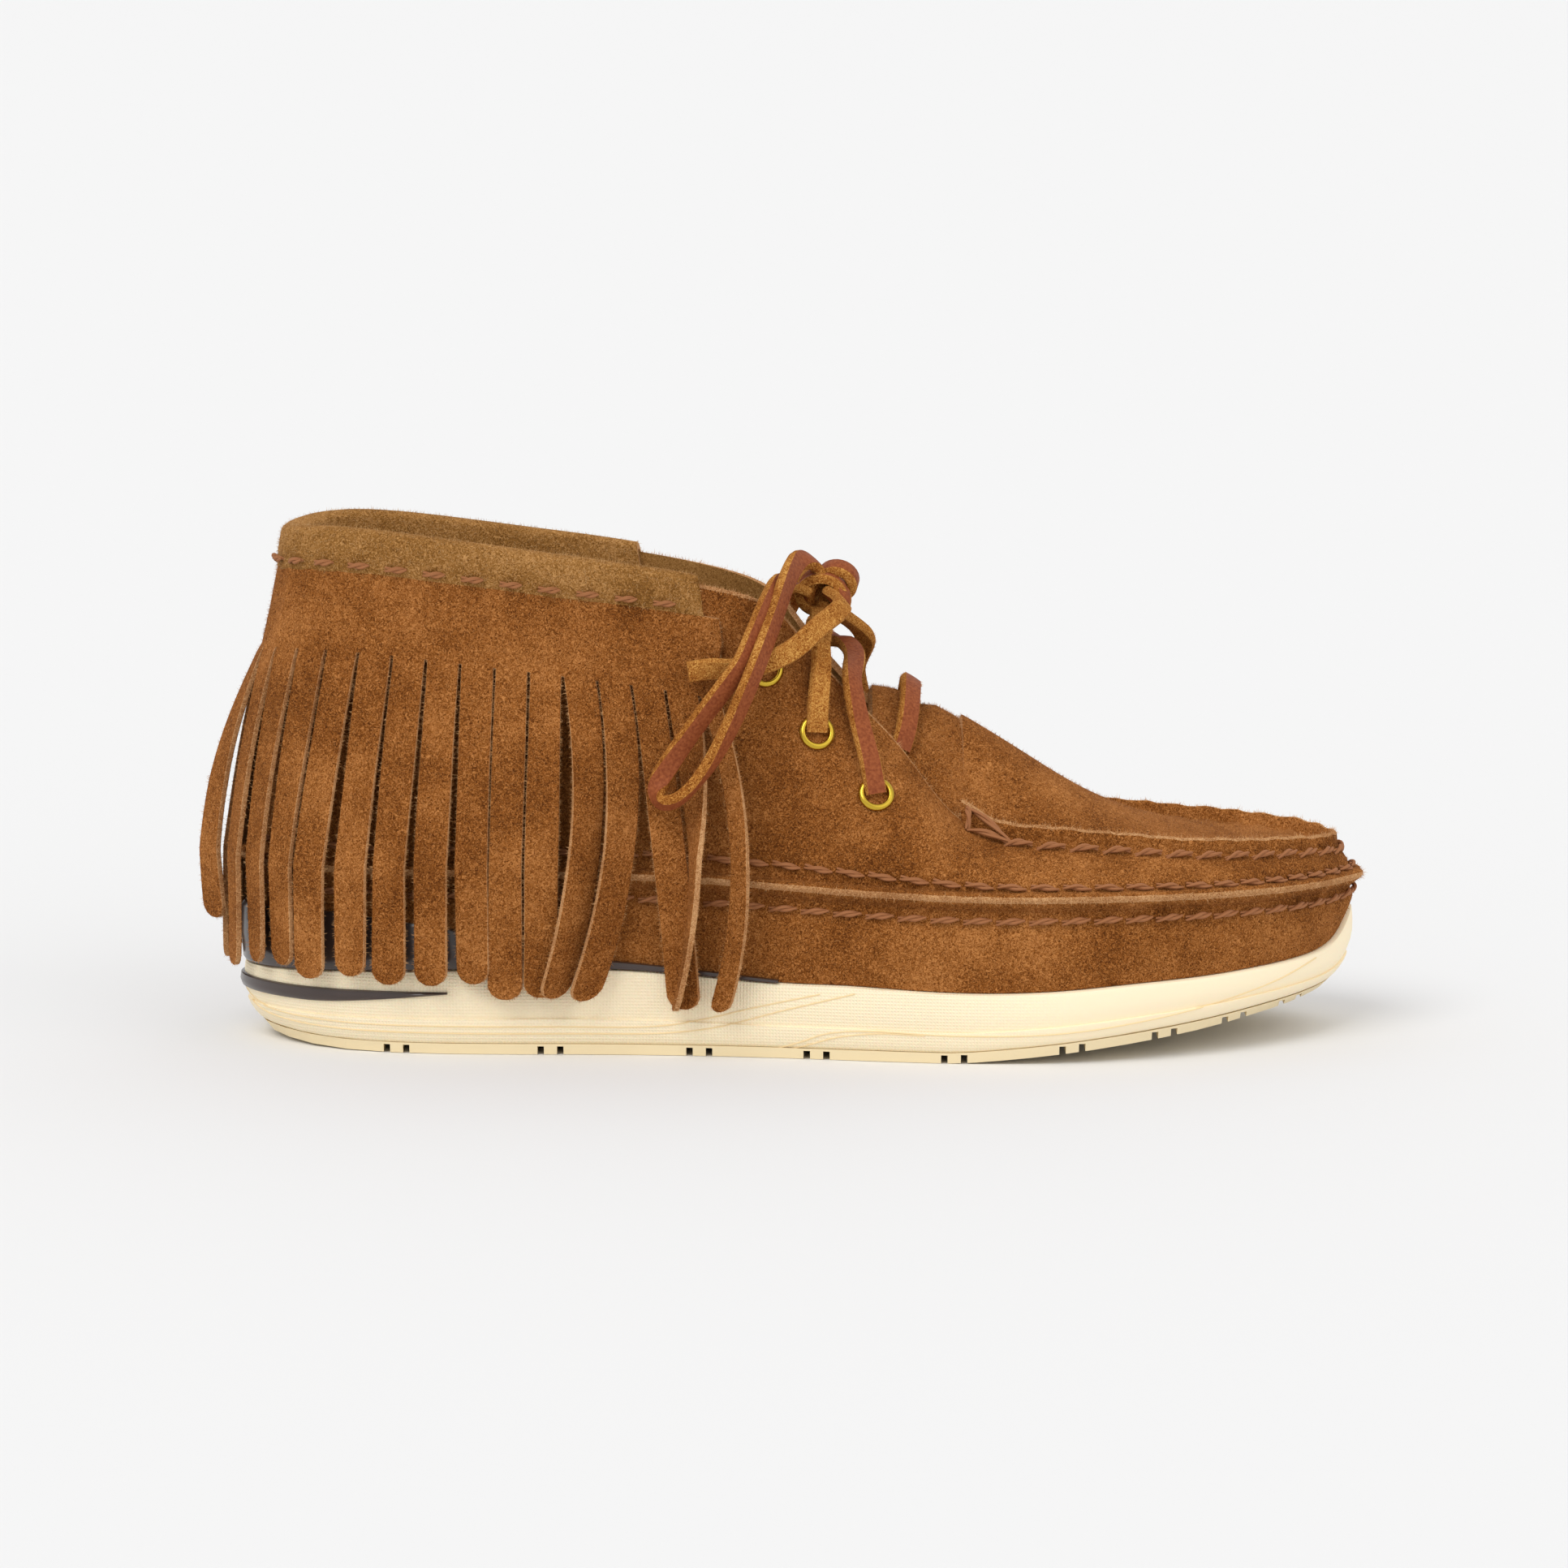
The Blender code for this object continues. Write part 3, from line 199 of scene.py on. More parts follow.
def point_normals(points, faces):
    """Unit normals at the points of an open skin."""
    normals = np.zeros_like(points)
    for face in faces:
        corners = points[list(face)]
        normal = np.cross(corners[2] - corners[0], corners[-1] - corners[1])
        for i in face:
            normals[i] += normal
    return normals / np.linalg.norm(normals, axis=1)[:, None]


def upper_loops(per=FINE):
    """The upper's feather edge, the two edges of its lower seam, and its top edge."""
    plan, normal, rim, _, _, _ = sole_loops(per)
    seam_names = ("inset", "seam")
    inset, seam = loop_of(UPPER, UPPER_COLUMNS, seam_names, seam_names, per).T
    feather = with_height(plan - normal * FEATHER_INSET, rim + CLEARANCE)
    seam_plan = plan - normal * (inset * SEAM_INSET)[:, None]
    seam_low = with_height(seam_plan, seam * SEAM_HEIGHT - SEAM_BASE / 2)
    seam_high = with_height(seam_plan, seam * SEAM_HEIGHT + SEAM_BASE / 2)
    lateral = ("along", "lateral", "top", "belly_lateral")
    medial = ("along", "medial", "top", "belly_medial")
    table = loop_of(UPPER, UPPER_COLUMNS, lateral, medial, per)
    top = table[:, :3] * (LENGTH, BALL_WIDTH, SHAFT_HEIGHT) - (HEEL_SEAT, 0, 0)
    return feather, seam_low, seam_high, top, with_height(normal, 0), table[:, 3] * BELLY


def lower_wall(share, per=FINE):
    """The wrap between feather edge and lower seam, at a share of the way up."""
    feather, seam_low, _, _, normal, _ = upper_loops(per)
    share = np.broadcast_to(share, len(feather))[:, None]
    bulge = LOWER_BELLY * 4 * share * (1 - share)
    return feather * (1 - share) + seam_low * share + normal * bulge


def upper_wall(share, per=FINE):
    """The side above the lower seam, at a share of the way to the top edge."""
    _, _, seam_high, top, normal, belly = upper_loops(per)
    bulge = belly[:, None] * 4 * share * (1 - share)
    return seam_high * (1 - share) + top * share + normal * bulge


def apron_section(first, second, crest, shares):
    """Points across the instep between two edge points, rising to a crest height."""
    shares = np.asarray(shares)[:, None]
    line = first * (1 - shares) + second * shares
    rise = crest - (first[2] + second[2]) / 2
    line[:, 2] += (rise * (1 - np.abs(2 * shares - 1) ** 1.9))[:, 0]
    return line


def crest_heights(per=FINE):
    crest = loop_of(UPPER, UPPER_COLUMNS, ("crest",), ("crest",), per)[:, 0]
    return crest * INSTEP_HEIGHT


def mesh_piece(name, points, faces, finishes, slots=None, uvs=None, smooth_angle=50):
    """A mesh riding on the boot. slots gives each face its finish, uvs each point its place in mm."""
    mesh = bpy.data.meshes.new(name)
    mesh.from_pydata([tuple(p) for p in points], [], [tuple(f) for f in faces])
    for finish in finishes:
        mesh.materials.append(finish)
    if slots is not None:
        mesh.polygons.foreach_set("material_index", slots)
    if uvs is not None:
        layer = mesh.uv_layers.new(name="real_mm")
        corners = np.empty(len(mesh.loops), np.int32)
        mesh.loops.foreach_get("vertex_index", corners)
        layer.data.foreach_set("uv", np.asarray(uvs)[corners].astype(np.float32).ravel())
    mesh.validate()
    work = bmesh.new()
    work.from_mesh(mesh)
    bmesh.ops.recalc_face_normals(work, faces=work.faces)
    work.to_mesh(mesh)
    work.free()
    mesh.shade_smooth()
    mesh.set_sharp_from_angle(angle=math.radians(smooth_angle))
    obj = bpy.data.objects.new(name, mesh)
    bpy.context.scene.collection.objects.link(obj)
    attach(obj, "root")
    return obj


def thick_piece(name, outer, inner, faces, finishes, uvs=None, smooth_angle=50):
    """A wall between two skins. Its free edges take the second finish, the inner skin the last."""
    count = len(outer)
    used = {}
    for face in faces:
        for a, b in zip(face, face[1:] + face[:1]):
            used.setdefault(frozenset((a, b)), []).append((a, b))
    rims = [edges[0] for edges in used.values() if len(edges) == 1]
    walls = list(faces) + [tuple(i + count for i in reversed(face)) for face in faces]
    walls += [(b, a, a + count, b + count) for a, b in rims]
    slots = [0] * len(faces) + [len(finishes) - 1] * len(faces) + [min(1, len(finishes) - 1)] * len(rims)
    if uvs is not None:
        uvs = np.concatenate([uvs, uvs])
    points = np.concatenate([outer, inner])
    return mesh_piece(name, points, walls, finishes, slots, uvs, smooth_angle)


def colour(code):
    """An sRGB hex colour as linear red, green, blue and alpha."""
    parts = [int(code[i:i + 2], 16) / 255 for i in (1, 3, 5)]
    return (*[p / 12.92 if p <= 0.04045 else ((p + 0.055) / 1.055) ** 2.4 for p in parts], 1)


def add_node(finish, kind, links=None, **values):
    """Adds a shader node, sets its inputs by name, and links other nodes' outputs to inputs."""
    tree = finish.node_tree
    node = tree.nodes.new(kind)
    for name, value in values.items():
        if hasattr(node, name):
            setattr(node, name, value)
        else:
            node.inputs[name.replace("_", " ")].default_value = value
    for name, output in (links or {}).items():
        tree.links.new(output, node.inputs[name])
    return node


def main_shader(finish):
    return finish.node_tree.nodes["Principled BSDF"]


def new_finish(name, code, roughness, **values):
    """A finish with a plain colour and settings of its main shader."""
    finish = bpy.data.materials.new(name)
    finish.use_nodes = True
    shader = main_shader(finish)
    shader.inputs["Base Color"].default_value = colour(code)
    shader.inputs["Roughness"].default_value = roughness
    for key, value in values.items():
        shader.inputs[key.replace("_", " ")].default_value = value
    return finish


def ramp(finish, factor, stops):
    """A colour ramp over a factor, from (position, hex colour) stops."""
    node = add_node(finish, "ShaderNodeValToRGB", {"Fac": factor})
    elements = node.color_ramp.elements
    for i, (position, code) in enumerate(stops):
        element = elements[i] if i < 2 else elements.new(position)
        element.position = position
        element.color = colour(code)
    return node.outputs["Color"]


# How broad the patches are in which the nap lies one way, lighter or darker.
PATCH_MM = 20
# Real fibres are about 0.02 mm thick. The nap is drawn as tufts, coarse enough to show.
TUFTS_PER_CM = 11.5


def suede_finish(name, dark, middle, light, bump_mm=0.35):
    """Brushed suede: a fine curly nap over soft, broad patches, with a faint sheen."""
    finish = new_finish(name, middle, 0.95, Sheen_Weight=0.18, Sheen_Roughness=0.5,
                        Specular_IOR_Level=0.08)
    shader = main_shader(finish)
    shader.inputs["Sheen Tint"].default_value = colour(light)
    place = add_node(finish, "ShaderNodeTexCoord").outputs["Object"]
    patches = add_node(finish, "ShaderNodeTexNoise", {"Vector": place}, Scale=1000 / PATCH_MM,
                       Detail=3.0, Roughness=0.5, Distortion=0.3)
    fibres = add_node(finish, "ShaderNodeTexNoise", {"Vector": place}, Scale=100 * TUFTS_PER_CM,
                      Detail=3.0, Roughness=0.65, Distortion=2.2)
    mix = add_node(finish, "ShaderNodeMix", {"A": patches.outputs["Fac"], "B": fibres.outputs["Fac"]},
                   Factor=0.74)
    tint = ramp(finish, mix.outputs["Result"], ((0.39, dark), (0.61, light), (0.50, middle)))
    finish.node_tree.links.new(tint, shader.inputs["Base Color"])
    fine = add_node(finish, "ShaderNodeBump", {"Height": fibres.outputs["Fac"]}, Strength=0.9,
                    Distance=bump_mm / 1000)
    finish.node_tree.links.new(fine.outputs["Normal"], shader.inputs["Normal"])
    return finish


def nap(piece, name, hair, count, length, seed, finishes=(0, 1)):
    """Stray hairs on a piece's faces of the given finishes, each a thin blade that leans its own way."""
    mesh = piece.data
    mesh.calc_loop_triangles()
    corners = np.array([t.vertices[:] for t in mesh.loop_triangles if t.material_index in finishes])
    places = np.array([v.co[:] for v in mesh.vertices])[corners]
    cross = np.cross(places[:, 1] - places[:, 0], places[:, 2] - places[:, 0])
    area = np.linalg.norm(cross, axis=1)
    random = np.random.default_rng(seed)
    pick = random.choice(len(area), count, p=area / area.sum())
    a, b = random.random((2, count, 1))
    a, b = np.where(a + b > 1, 1 - a, a), np.where(a + b > 1, 1 - b, b)
    first, second, third = places[pick, 0], places[pick, 1], places[pick, 2]
    root = first + (second - first) * a + (third - first) * b
    normal = cross[pick] / area[pick][:, None]
    way = normal * 0.8 + random.normal(size=(count, 3)) * 0.6
    way /= np.linalg.norm(way, axis=1)[:, None]
    across = np.cross(way, normal)
    across *= HAIR_WIDTH / 2 / np.maximum(np.linalg.norm(across, axis=1), 1e-6)[:, None]
    tip = root + way * length * random.uniform(0.4, 1.3, (count, 1))
    hairs = mesh_piece(name, np.stack([root - across, root + across, tip], 1).reshape(-1, 3),
                       np.arange(3 * count).reshape(-1, 3).tolist(), [hair])


# Brushed split suede, tobacco brown: no shine, a nap that catches light at its tips.
suede = suede_finish("brushed_suede", "#542C0E", "#8A5120", "#BC7E46")
# Loose fibres of the nap, with no shine of their own. Real ones are 0.02 mm thick; these
# are drawn at 0.11 mm so that they show.
suede_hair = new_finish("suede_nap", "#B4793F", 1.0)
edge_hair = new_finish("suede_edge_nap", "#CE9F6C", 1.0)
# The same hide where it is cut or skived: paler, with longer fibres.
cut_edge = suede_finish("suede_cut_edge", "#8E5C34", "#B48254", "#D2A474", 0.2)
# Its flesh side, inside the shoe: flatter and even.
lining = suede_finish("suede_flesh_side", "#6E4A22", "#8C6232", "#A87C48", 0.2)


def reach_along(line):
    """The distance along a line at each of its points."""
    steps = np.linalg.norm(np.diff(line, axis=0), axis=1)
    return np.concatenate([[0], np.cumsum(steps)])


def puckers(reach, seed):
    """A gathered seam: a swell between stitches, with some unevenness."""
    turn = reach / STITCH_PITCH * math.tau
    uneven = np.sin(turn * 0.37 + seed) * 0.5 + np.sin(turn * 0.171 + 2 * seed) * 0.5
    return np.sin(turn + 0.8 * uneven), uneven


def upper_skin():
    """The smooth skin, how far the gathered seams stand off it, and its faces."""
    _, seam_low, seam_high, top, normal, _ = upper_loops()
    count = len(top)
    up = np.array([0, 0, 1.0])
    seam_wave, seam_uneven = puckers(reach_along(seam_high), 1.3)
    rows = [lower_wall(share) for share in LOWER_SHARES]
    rows += [seam_low * (1 - share) + seam_high * share for share in FIN_SHARES]
    rows += [upper_wall(share) for share in UPPER_SHARES]
    relief = [np.zeros_like(row) for row in rows]
    fin_size = (1 + 0.10 * seam_wave + 0.08 * seam_uneven)[:, None]
    for i, height in enumerate(FIN_HEIGHTS):
        relief[FIN_ROW + i] = (normal * SEAM_FIN + up * SEAM_RISE) * height * fin_size
    pull = (SEAM_PULL * seam_wave)[:, None]
    for back, share in ((1, 0.6), (2, 1.0), (3, 0.5)):
        relief[FIN_ROW - back] = normal * pull * share
    for row, share in ((0, 0.6), (1, 1.2), (2, 0.8), (3, 0.4)):
        relief[UPPER_ROW + row] = normal * pull * share
    faces = band_faces(len(rows), count)
    toe = np.arange(BAR_TACK * FINE, count - BAR_TACK * FINE + 1)
    ridge_wave, ridge_uneven = puckers(reach_along(top), 4.1)
    tack = np.clip(np.minimum(toe - toe[0], toe[-1] - toe) / (0.6 * FINE), 0, 1)
    ridge_size = (0.95 + 0.06 * ridge_wave + 0.05 * ridge_uneven)[toe] * (0.75 + 0.25 * tack)
    ridge_size += 0.7 * np.exp(-(np.minimum(toe - toe[0], toe[-1] - toe) / (0.4 * FINE)) ** 2)
    toe_pull = (RIDGE_PULL * ridge_wave)[toe][:, None] * normal[toe]
    for back, share in ((0, 0.3), (1, 0.9), (2, 1.0), (3, 0.7), (4, 0.4), (5, 0.2)):
        relief[-1 - back][toe] += toe_pull * share
    inboard = -with_height(outward(top[:, :2]), -0.15)[toe]
    ridge = [top[toe] + inboard * RIDGE_BASE * share for share in RIDGE_SHARES]
    ridge_relief = [up * RIDGE_FIN * height * ridge_size[:, None] + toe_pull * 0.5
                    for height in RIDGE_HEIGHTS]
    start = len(rows) * count
    edge = (len(rows) - 1) * count
    for i in range(len(toe) - 1):
        faces.append((edge + toe[i], edge + toe[i + 1], start + i + 1, start + i))
    faces += [tuple(start + i for i in face)
              for face in band_faces(len(ridge), len(toe), closed=False)]
    inner = start + (len(ridge) - 1) * len(toe)
    half = len(toe) // 2
    crest = crest_heights()[toe]
    steps = np.arange(1, APRON_STEPS) / APRON_STEPS
    first = start + len(ridge) * len(toe)
    across = APRON_STEPS - 1
    apron, apron_relief = [], []
    for i in range(half):
        section = apron_section(ridge[-1][i], ridge[-1][-1 - i], crest[i], steps)
        apron.append(section)
        size = np.linalg.norm(ridge[-1][i] - ridge[-1][-1 - i])
        near = np.exp(-steps * size / SWELL_REACH) * ridge_wave[toe[i]]
        far = np.exp(-(1 - steps) * size / SWELL_REACH) * ridge_wave[toe[-1 - i]]
        apron_relief.append(up * ((near + far) * APRON_SWELL)[:, None])

    def section_of(i):
        inside = range(first + i * across, first + (i + 1) * across)
        return [inner + i, *inside, inner + len(toe) - 1 - i]

    for i in range(half - 1):
        here, ahead = section_of(i), section_of(i + 1)
        faces += [(here[j], ahead[j], ahead[j + 1], here[j + 1]) for j in range(APRON_STEPS)]
    end = section_of(half - 1)
    faces += [(end[j], inner + half, end[j + 1]) for j in range(APRON_STEPS)]
    points = np.concatenate(rows + ridge + apron)
    return points, np.concatenate(relief + ridge_relief + apron_relief), faces


skin, skin_relief, skin_faces = upper_skin()
skin_normals = point_normals(skin, skin_faces)
inner_skin = skin - skin_normals * WALL
loop_count = len(upper_loops()[3])
toe_columns = np.arange(BAR_TACK * FINE, loop_count - BAR_TACK * FINE + 1)
toe_inboard = -with_height(outward(upper_loops()[3][:, :2]), 0)
for number, share in enumerate(UPPER_SHARES):
    side = upper_wall(share) - np.array([0, 0, WALL]) * share + toe_inboard * WALL
    start = (UPPER_ROW + number) * loop_count
    inner_skin[start + toe_columns] = side[toe_columns]
for number, share in enumerate(RIDGE_SHARES[:-1]):
    reach = WALL + (RIDGE_BASE - WALL) * share
    start = (TOP_ROW + 1) * loop_count + number * len(toe_columns)
    under = upper_loops()[3] - np.array([0, 0, WALL]) + toe_inboard * reach
    inner_skin[start:start + len(toe_columns)] = under[toe_columns]
outer_skin = skin + skin_relief
upper = thick_piece("upper_suede", outer_skin, inner_skin, skin_faces, [suede, cut_edge, lining])
# The cut edge shows on the crests of both ridges and round the collar and throat.
seam_crest = (FIN_ROW + 1) * loop_count
ridge_crest = TOP_ROW * loop_count + len(toe_columns) - 1
edge_band = (TOP_ROW - 1) * loop_count
for face in (*range(seam_crest, seam_crest + 2 * loop_count),
             *range(ridge_crest, ridge_crest + 2 * (len(toe_columns) - 1)),
             *range(edge_band, edge_band + toe_columns[0]),
             *range(edge_band + toe_columns[-1], edge_band + loop_count)):
    upper.data.polygons[face].material_index = 1
nap(upper, "upper_nap", suede_hair, count=70000, length=0.0009, seed=11)
nap(upper, "upper_edge_nap", edge_hair, count=14000, length=0.0013, seed=15, finishes=(1,))
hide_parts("upper")

# Stitches: thick waxed thread in a running stitch on both sides of the lower ridge and over the
# apron's ridge, each stitch a short two-ply rope that dips into the suede at its ends.

THREAD_WIDTH = 0.0017
STITCH_LENGTH = 0.0074
STITCH_LIFT = 0.0004
# Waxed linen thread, two plies: dull, a little redder than the suede.
thread = new_finish("waxed_thread", "#9A6238", 0.8)


def merged(parts):
    """Points and faces of several meshes, as one."""
    points, faces, first = [], [], 0
    for some_points, some_faces in parts:
        points.append(some_points)
        faces += [tuple(first + i for i in face) for face in some_faces]
        first += len(some_points)
    return np.concatenate(points), faces


def ring_faces(rings, count, closed=False):
    """Quads between rings of points, and from the last ring to the first if closed."""
    return [(i * count + j, (i + 1) % rings * count + j, (i + 1) % rings * count + (j + 1) % count,
             i * count + (j + 1) % count) for i in range(rings if closed else rings - 1)
            for j in range(count)]


def swept(line, facing, profile, sizes=None):
    """A closed profile of (across, out) swept along a line with flat ends."""
    line = np.asarray(line, float)
    along = np.gradient(line, axis=0)
    along /= np.linalg.norm(along, axis=1)[:, None]
    facing = facing - along * np.sum(facing * along, axis=1)[:, None]
    facing /= np.linalg.norm(facing, axis=1)[:, None]
    across = np.cross(along, facing)
    profile = np.asarray(profile, float)
    sizes = np.ones(len(line)) if sizes is None else np.asarray(sizes)
    points = (line[:, None] + across[:, None] * (profile[:, :1] * sizes[:, None, None])
              + facing[:, None] * (profile[:, 1:] * sizes[:, None, None]))
    count = len(profile)
    faces = ring_faces(len(line), count)
    last = (len(line) - 1) * count
    faces += [tuple(reversed(range(count))), tuple(range(last, last + count))]
    return points.reshape(-1, 3), faces


def stitch(start, end, out, radius):
    """A two-ply thread between two points, bowed outwards."""
    steps = 9
    t = np.linspace(0, 1, steps)
    line = start + (end - start) * t[:, None] + out * (np.sin(math.pi * t) * radius * 1.1)[:, None]
    side = np.cross(end - start, out)
    side /= np.linalg.norm(side)
    plies = []
    for phase in (0, math.pi):
        angle = phase + 5.0 * t
        ply = line + (side * np.cos(angle)[:, None] + out * np.sin(angle)[:, None]) * radius * 0.5
        turns = np.linspace(0, math.tau, 7)[:-1]
        profile = np.stack([np.cos(turns), np.sin(turns)], 1) * radius * 0.62
        plies.append(swept(ply, np.tile(out, (steps, 1)), profile, 0.55 + 0.45 * np.sin(math.pi * t)))
    return merged(plies)


def place_at(line, reach, distance):
    """The place, or places, at a distance along a line."""
    return np.stack([np.interp(distance, reach, line[:, axis]) for axis in range(3)], -1)


def stitch_row(line, out, first, last, slant, name, pitch=STITCH_PITCH, length=STITCH_LENGTH):
    """Stitches along part of a line, leaning by a slant, as one piece."""
    reach = reach_along(line)
    parts = []
    for number in range(int((reach[last] - reach[first]) / pitch)):
        middle = reach[first] + (number + 0.5) * pitch
        ends = []
        for side in (-1, 1):
            place = place_at(line, reach, middle + side * length / 2)
            ends.append(place + np.array([0, 0, slant * side]))
        way = place_at(out, reach, middle)
        parts.append(stitch(ends[0], ends[1], way / np.linalg.norm(way), THREAD_WIDTH / 2))
    points, faces = merged(parts)
    piece = mesh_piece(name, points, faces, [thread])
    return piece


outer_normals = point_normals(outer_skin, skin_faces)


def skin_row(row):
    """A closed row of the outer skin, lifted off it, with the way it faces."""
    pick = slice(row * loop_count, (row + 1) * loop_count)
    normal = outer_normals[pick]
    return outer_skin[pick] + normal * STITCH_LIFT, normal


low_line, low_out = skin_row(FIN_ROW - 2)
high_line, high_out = skin_row(UPPER_ROW + 1)
stitch_row(low_line, low_out, 0, loop_count - 1, 0.0004, "seam_stitches_below")
stitch_row(high_line, high_out, 0, loop_count - 1, -0.0004, "seam_stitches_above")
ridge_line, ridge_out = skin_row(TOP_ROW - 4)
stitch_row(ridge_line, ridge_out, toe_columns[0] + 4, toe_columns[-1] - 4, 0.0006, "apron_stitches")

# Each end of the apron's ridge is tied down by a triangle of three stitches.
for side, column in (("lateral", toe_columns[0]), ("medial", toe_columns[-1])):
    ahead = 5 if side == "lateral" else -5
    foot, out = ridge_line[column], ridge_out[column]
    toe_foot = ridge_line[column + ahead]
    edge = outer_skin[TOP_ROW * loop_count + column]
    peak = edge + np.array([0.0012, 0, 0.0028]) + out * 0.0006
    points, faces = merged([stitch(one, other, out, THREAD_WIDTH / 2) for one, other in (
        (foot, peak), (peak, toe_foot), (foot, toe_foot))])
    tack_piece = mesh_piece(f"bar_tack_{side}", points, faces, [thread])

# Sole: one moulded unit of cream foam, with a step round its side and a finely squared texture, and a
# rubber tread with pairs of grooves cemented on below it. The upper is cemented into its rim.

TREAD_THICKNESS = 0.0028
RIM_WIDTH = 0.0062
FLOOR_INSET = 0.0080
# Rows up the side: share of its height, and how far it stands proud of the plain side in metres.
SIDE_SHARES = (0.0, 0.05, 0.12, 0.20, 0.28, 0.335, 0.345, 0.36, 0.45, 0.55, 0.66, 0.78, 0.88, 0.94)
SIDE_PROUD = (-0.0006, 0.0, 0.0002, 0.0003, 0.0003, 0.0002, -0.0005, -0.0005, -0.0004, -0.0003,
              -0.0003, -0.0004, -0.0005, -0.0006)
SQUARE_PITCH_MM = 0.85
# The squares fade out towards the toe between these places along X.
SQUARES_FADE = (0.125, 0.165)

# Moulded EVA foam: matt cream that lets a little light in, with fine squares from its mould.
foam = new_finish("moulded_eva_foam", "#FCEBC9", 0.55, Subsurface_Weight=0.08, Subsurface_Scale=0.004)
place = add_node(foam, "ShaderNodeUVMap", uv_map="real_mm").outputs["UV"]
split = add_node(foam, "ShaderNodeSeparateXYZ", {"Vector": place})
waves = []
for axis in ("X", "Y"):
    turn = add_node(foam, "ShaderNodeMath", {0: split.outputs[axis]}, operation="MULTIPLY")
    turn.inputs[1].default_value = math.tau / SQUARE_PITCH_MM
    wave = add_node(foam, "ShaderNodeMath", {0: turn.outputs["Value"]}, operation="SINE")
    waves.append(wave.outputs["Value"])
squares = add_node(foam, "ShaderNodeMath", {0: waves[0], 1: waves[1]}, operation="MAXIMUM")
where = add_node(foam, "ShaderNodeSeparateXYZ",
                 {"Vector": add_node(foam, "ShaderNodeTexCoord").outputs["Object"]})
fade = add_node(foam, "ShaderNodeMapRange", {"Value": where.outputs["X"]}, From_Min=SQUARES_FADE[0],
                From_Max=SQUARES_FADE[1], To_Min=1.0, To_Max=0.0)
height = add_node(foam, "ShaderNodeMath", {0: squares.outputs["Value"], 1: fade.outputs["Result"]},
                  operation="MULTIPLY")
bump = add_node(foam, "ShaderNodeBump", {"Height": height.outputs["Value"]}, Strength=0.5,
                Distance=0.00018)
foam.node_tree.links.new(bump.outputs["Normal"], main_shader(foam).inputs["Normal"])


def side_loop(height, proud=0.0, per=FINE):
    """The sole's side at a height, which may differ round the loop: it tucks in to the tread."""
    plan, normal, rim, _, spring, tuck = sole_loops(per)
    rise = np.clip((height - spring) / (0.8 * (rim - spring)), 0, 1)
    inset = tuck * (1 - rise) ** 2 - proud
    return with_height(plan - normal * inset[:, None], height)


plan, _, rim, floor_line, spring, _ = sole_loops()
side_bottom = spring + TREAD_THICKNESS + 0.0001
sole_rows = [side_loop(side_bottom + (rim - side_bottom) * share, proud)
             for share, proud in zip(SIDE_SHARES, SIDE_PROUD)]
sole_rows += [side_loop(rim - 0.0003, -0.0008), side_loop(rim, -0.0014), side_loop(rim, -RIM_WIDTH)]
sole_rows.append(with_height(side_loop(rim, -FLOOR_INSET)[:, :2], floor_line))
sole_count = len(plan)
around = reach_along(plan) * 1000
sole_uvs = np.concatenate([np.stack([around, row[:, 2] * 1000], 1) for row in sole_rows])
sole_faces = band_faces(len(sole_rows), sole_count)


def straight_across(first, count):
    """Faces across a loop, from its lateral to its medial side."""
    faces = [(first, first + 1, first + count - 1)]
    for i in range(1, count // 2 - 1):
        faces.append((first + i, first + i + 1, first + count - i - 1, first + count - i))
    middle = first + count // 2
    return [*faces, (middle - 1, middle, middle + 1)]


sole_faces += [tuple(reversed(face)) for face in straight_across(0, sole_count)]
sole_faces += straight_across((len(sole_rows) - 1) * sole_count, sole_count)
midsole = mesh_piece("midsole_foam", np.concatenate(sole_rows), sole_faces, [foam], uvs=sole_uvs,
                     smooth_angle=35)
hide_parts("midsole")

# Two flowing bands are moulded on the outer side of the foam, from the heel over the arch to the toe.
# Each is edged by a fine line in a darker cream that is painted shade. Places are (X, Z) in millimetres.
SOLE_LINES = (
    ((-55, 12.2), (-48, 9.2), (-28, 7.9), (0, 7.6), (28, 7.6), (52, 7.8), (66, 9.8), (80, 13.4),
     (97, 17.4)),
    ((-53, 9.6), (-46, 7.2), (-28, 6.0), (0, 5.7), (32, 5.7), (56, 6.1), (72, 8.4), (88, 13.0),
     (106, 17.8)),
    ((84, 1.9), (92, 4.6), (99, 7.2), (110, 8.2), (130, 7.6), (150, 7.8), (165, 8.8), (183, 11.0),
     (200, 13.8), (216, 17.6), (228, 21.6)),
    ((88, 2.0), (95, 4.2), (102, 6.4), (112, 7.6), (124, 7.5)))
LINE_WIDTH = 0.00050
LINE_HEIGHT = 0.00022
# The foam at a moulded line, drawn in a darker cream: painted shade, where the fine grooves of the line
# lie in shadow.
foam_line_shade = new_finish("eva_foam_painted_line_shade", "#F0D6A4", 0.6)
half_round = sole_count // 2 + 1


def smooth_line(route, steps):
    """A curve through a route's points, with equal steps between two points."""
    route = np.asarray(route, float)
    points = []
    padded = np.concatenate([[2 * route[0] - route[1]], route, [2 * route[-1] - route[-2]]])
    for i in range(1, len(padded) - 2):
        a, b, c, d = padded[i - 1:i + 3]
        for step in range(steps):
            t = step / steps
            points.append(0.5 * (2 * b + (c - a) * t + (2 * a - 5 * b + 4 * c - d) * t**2
                                 + (3 * b - a - 3 * c + d) * t**3))
    points.append(route[-1])
    return np.array(points)


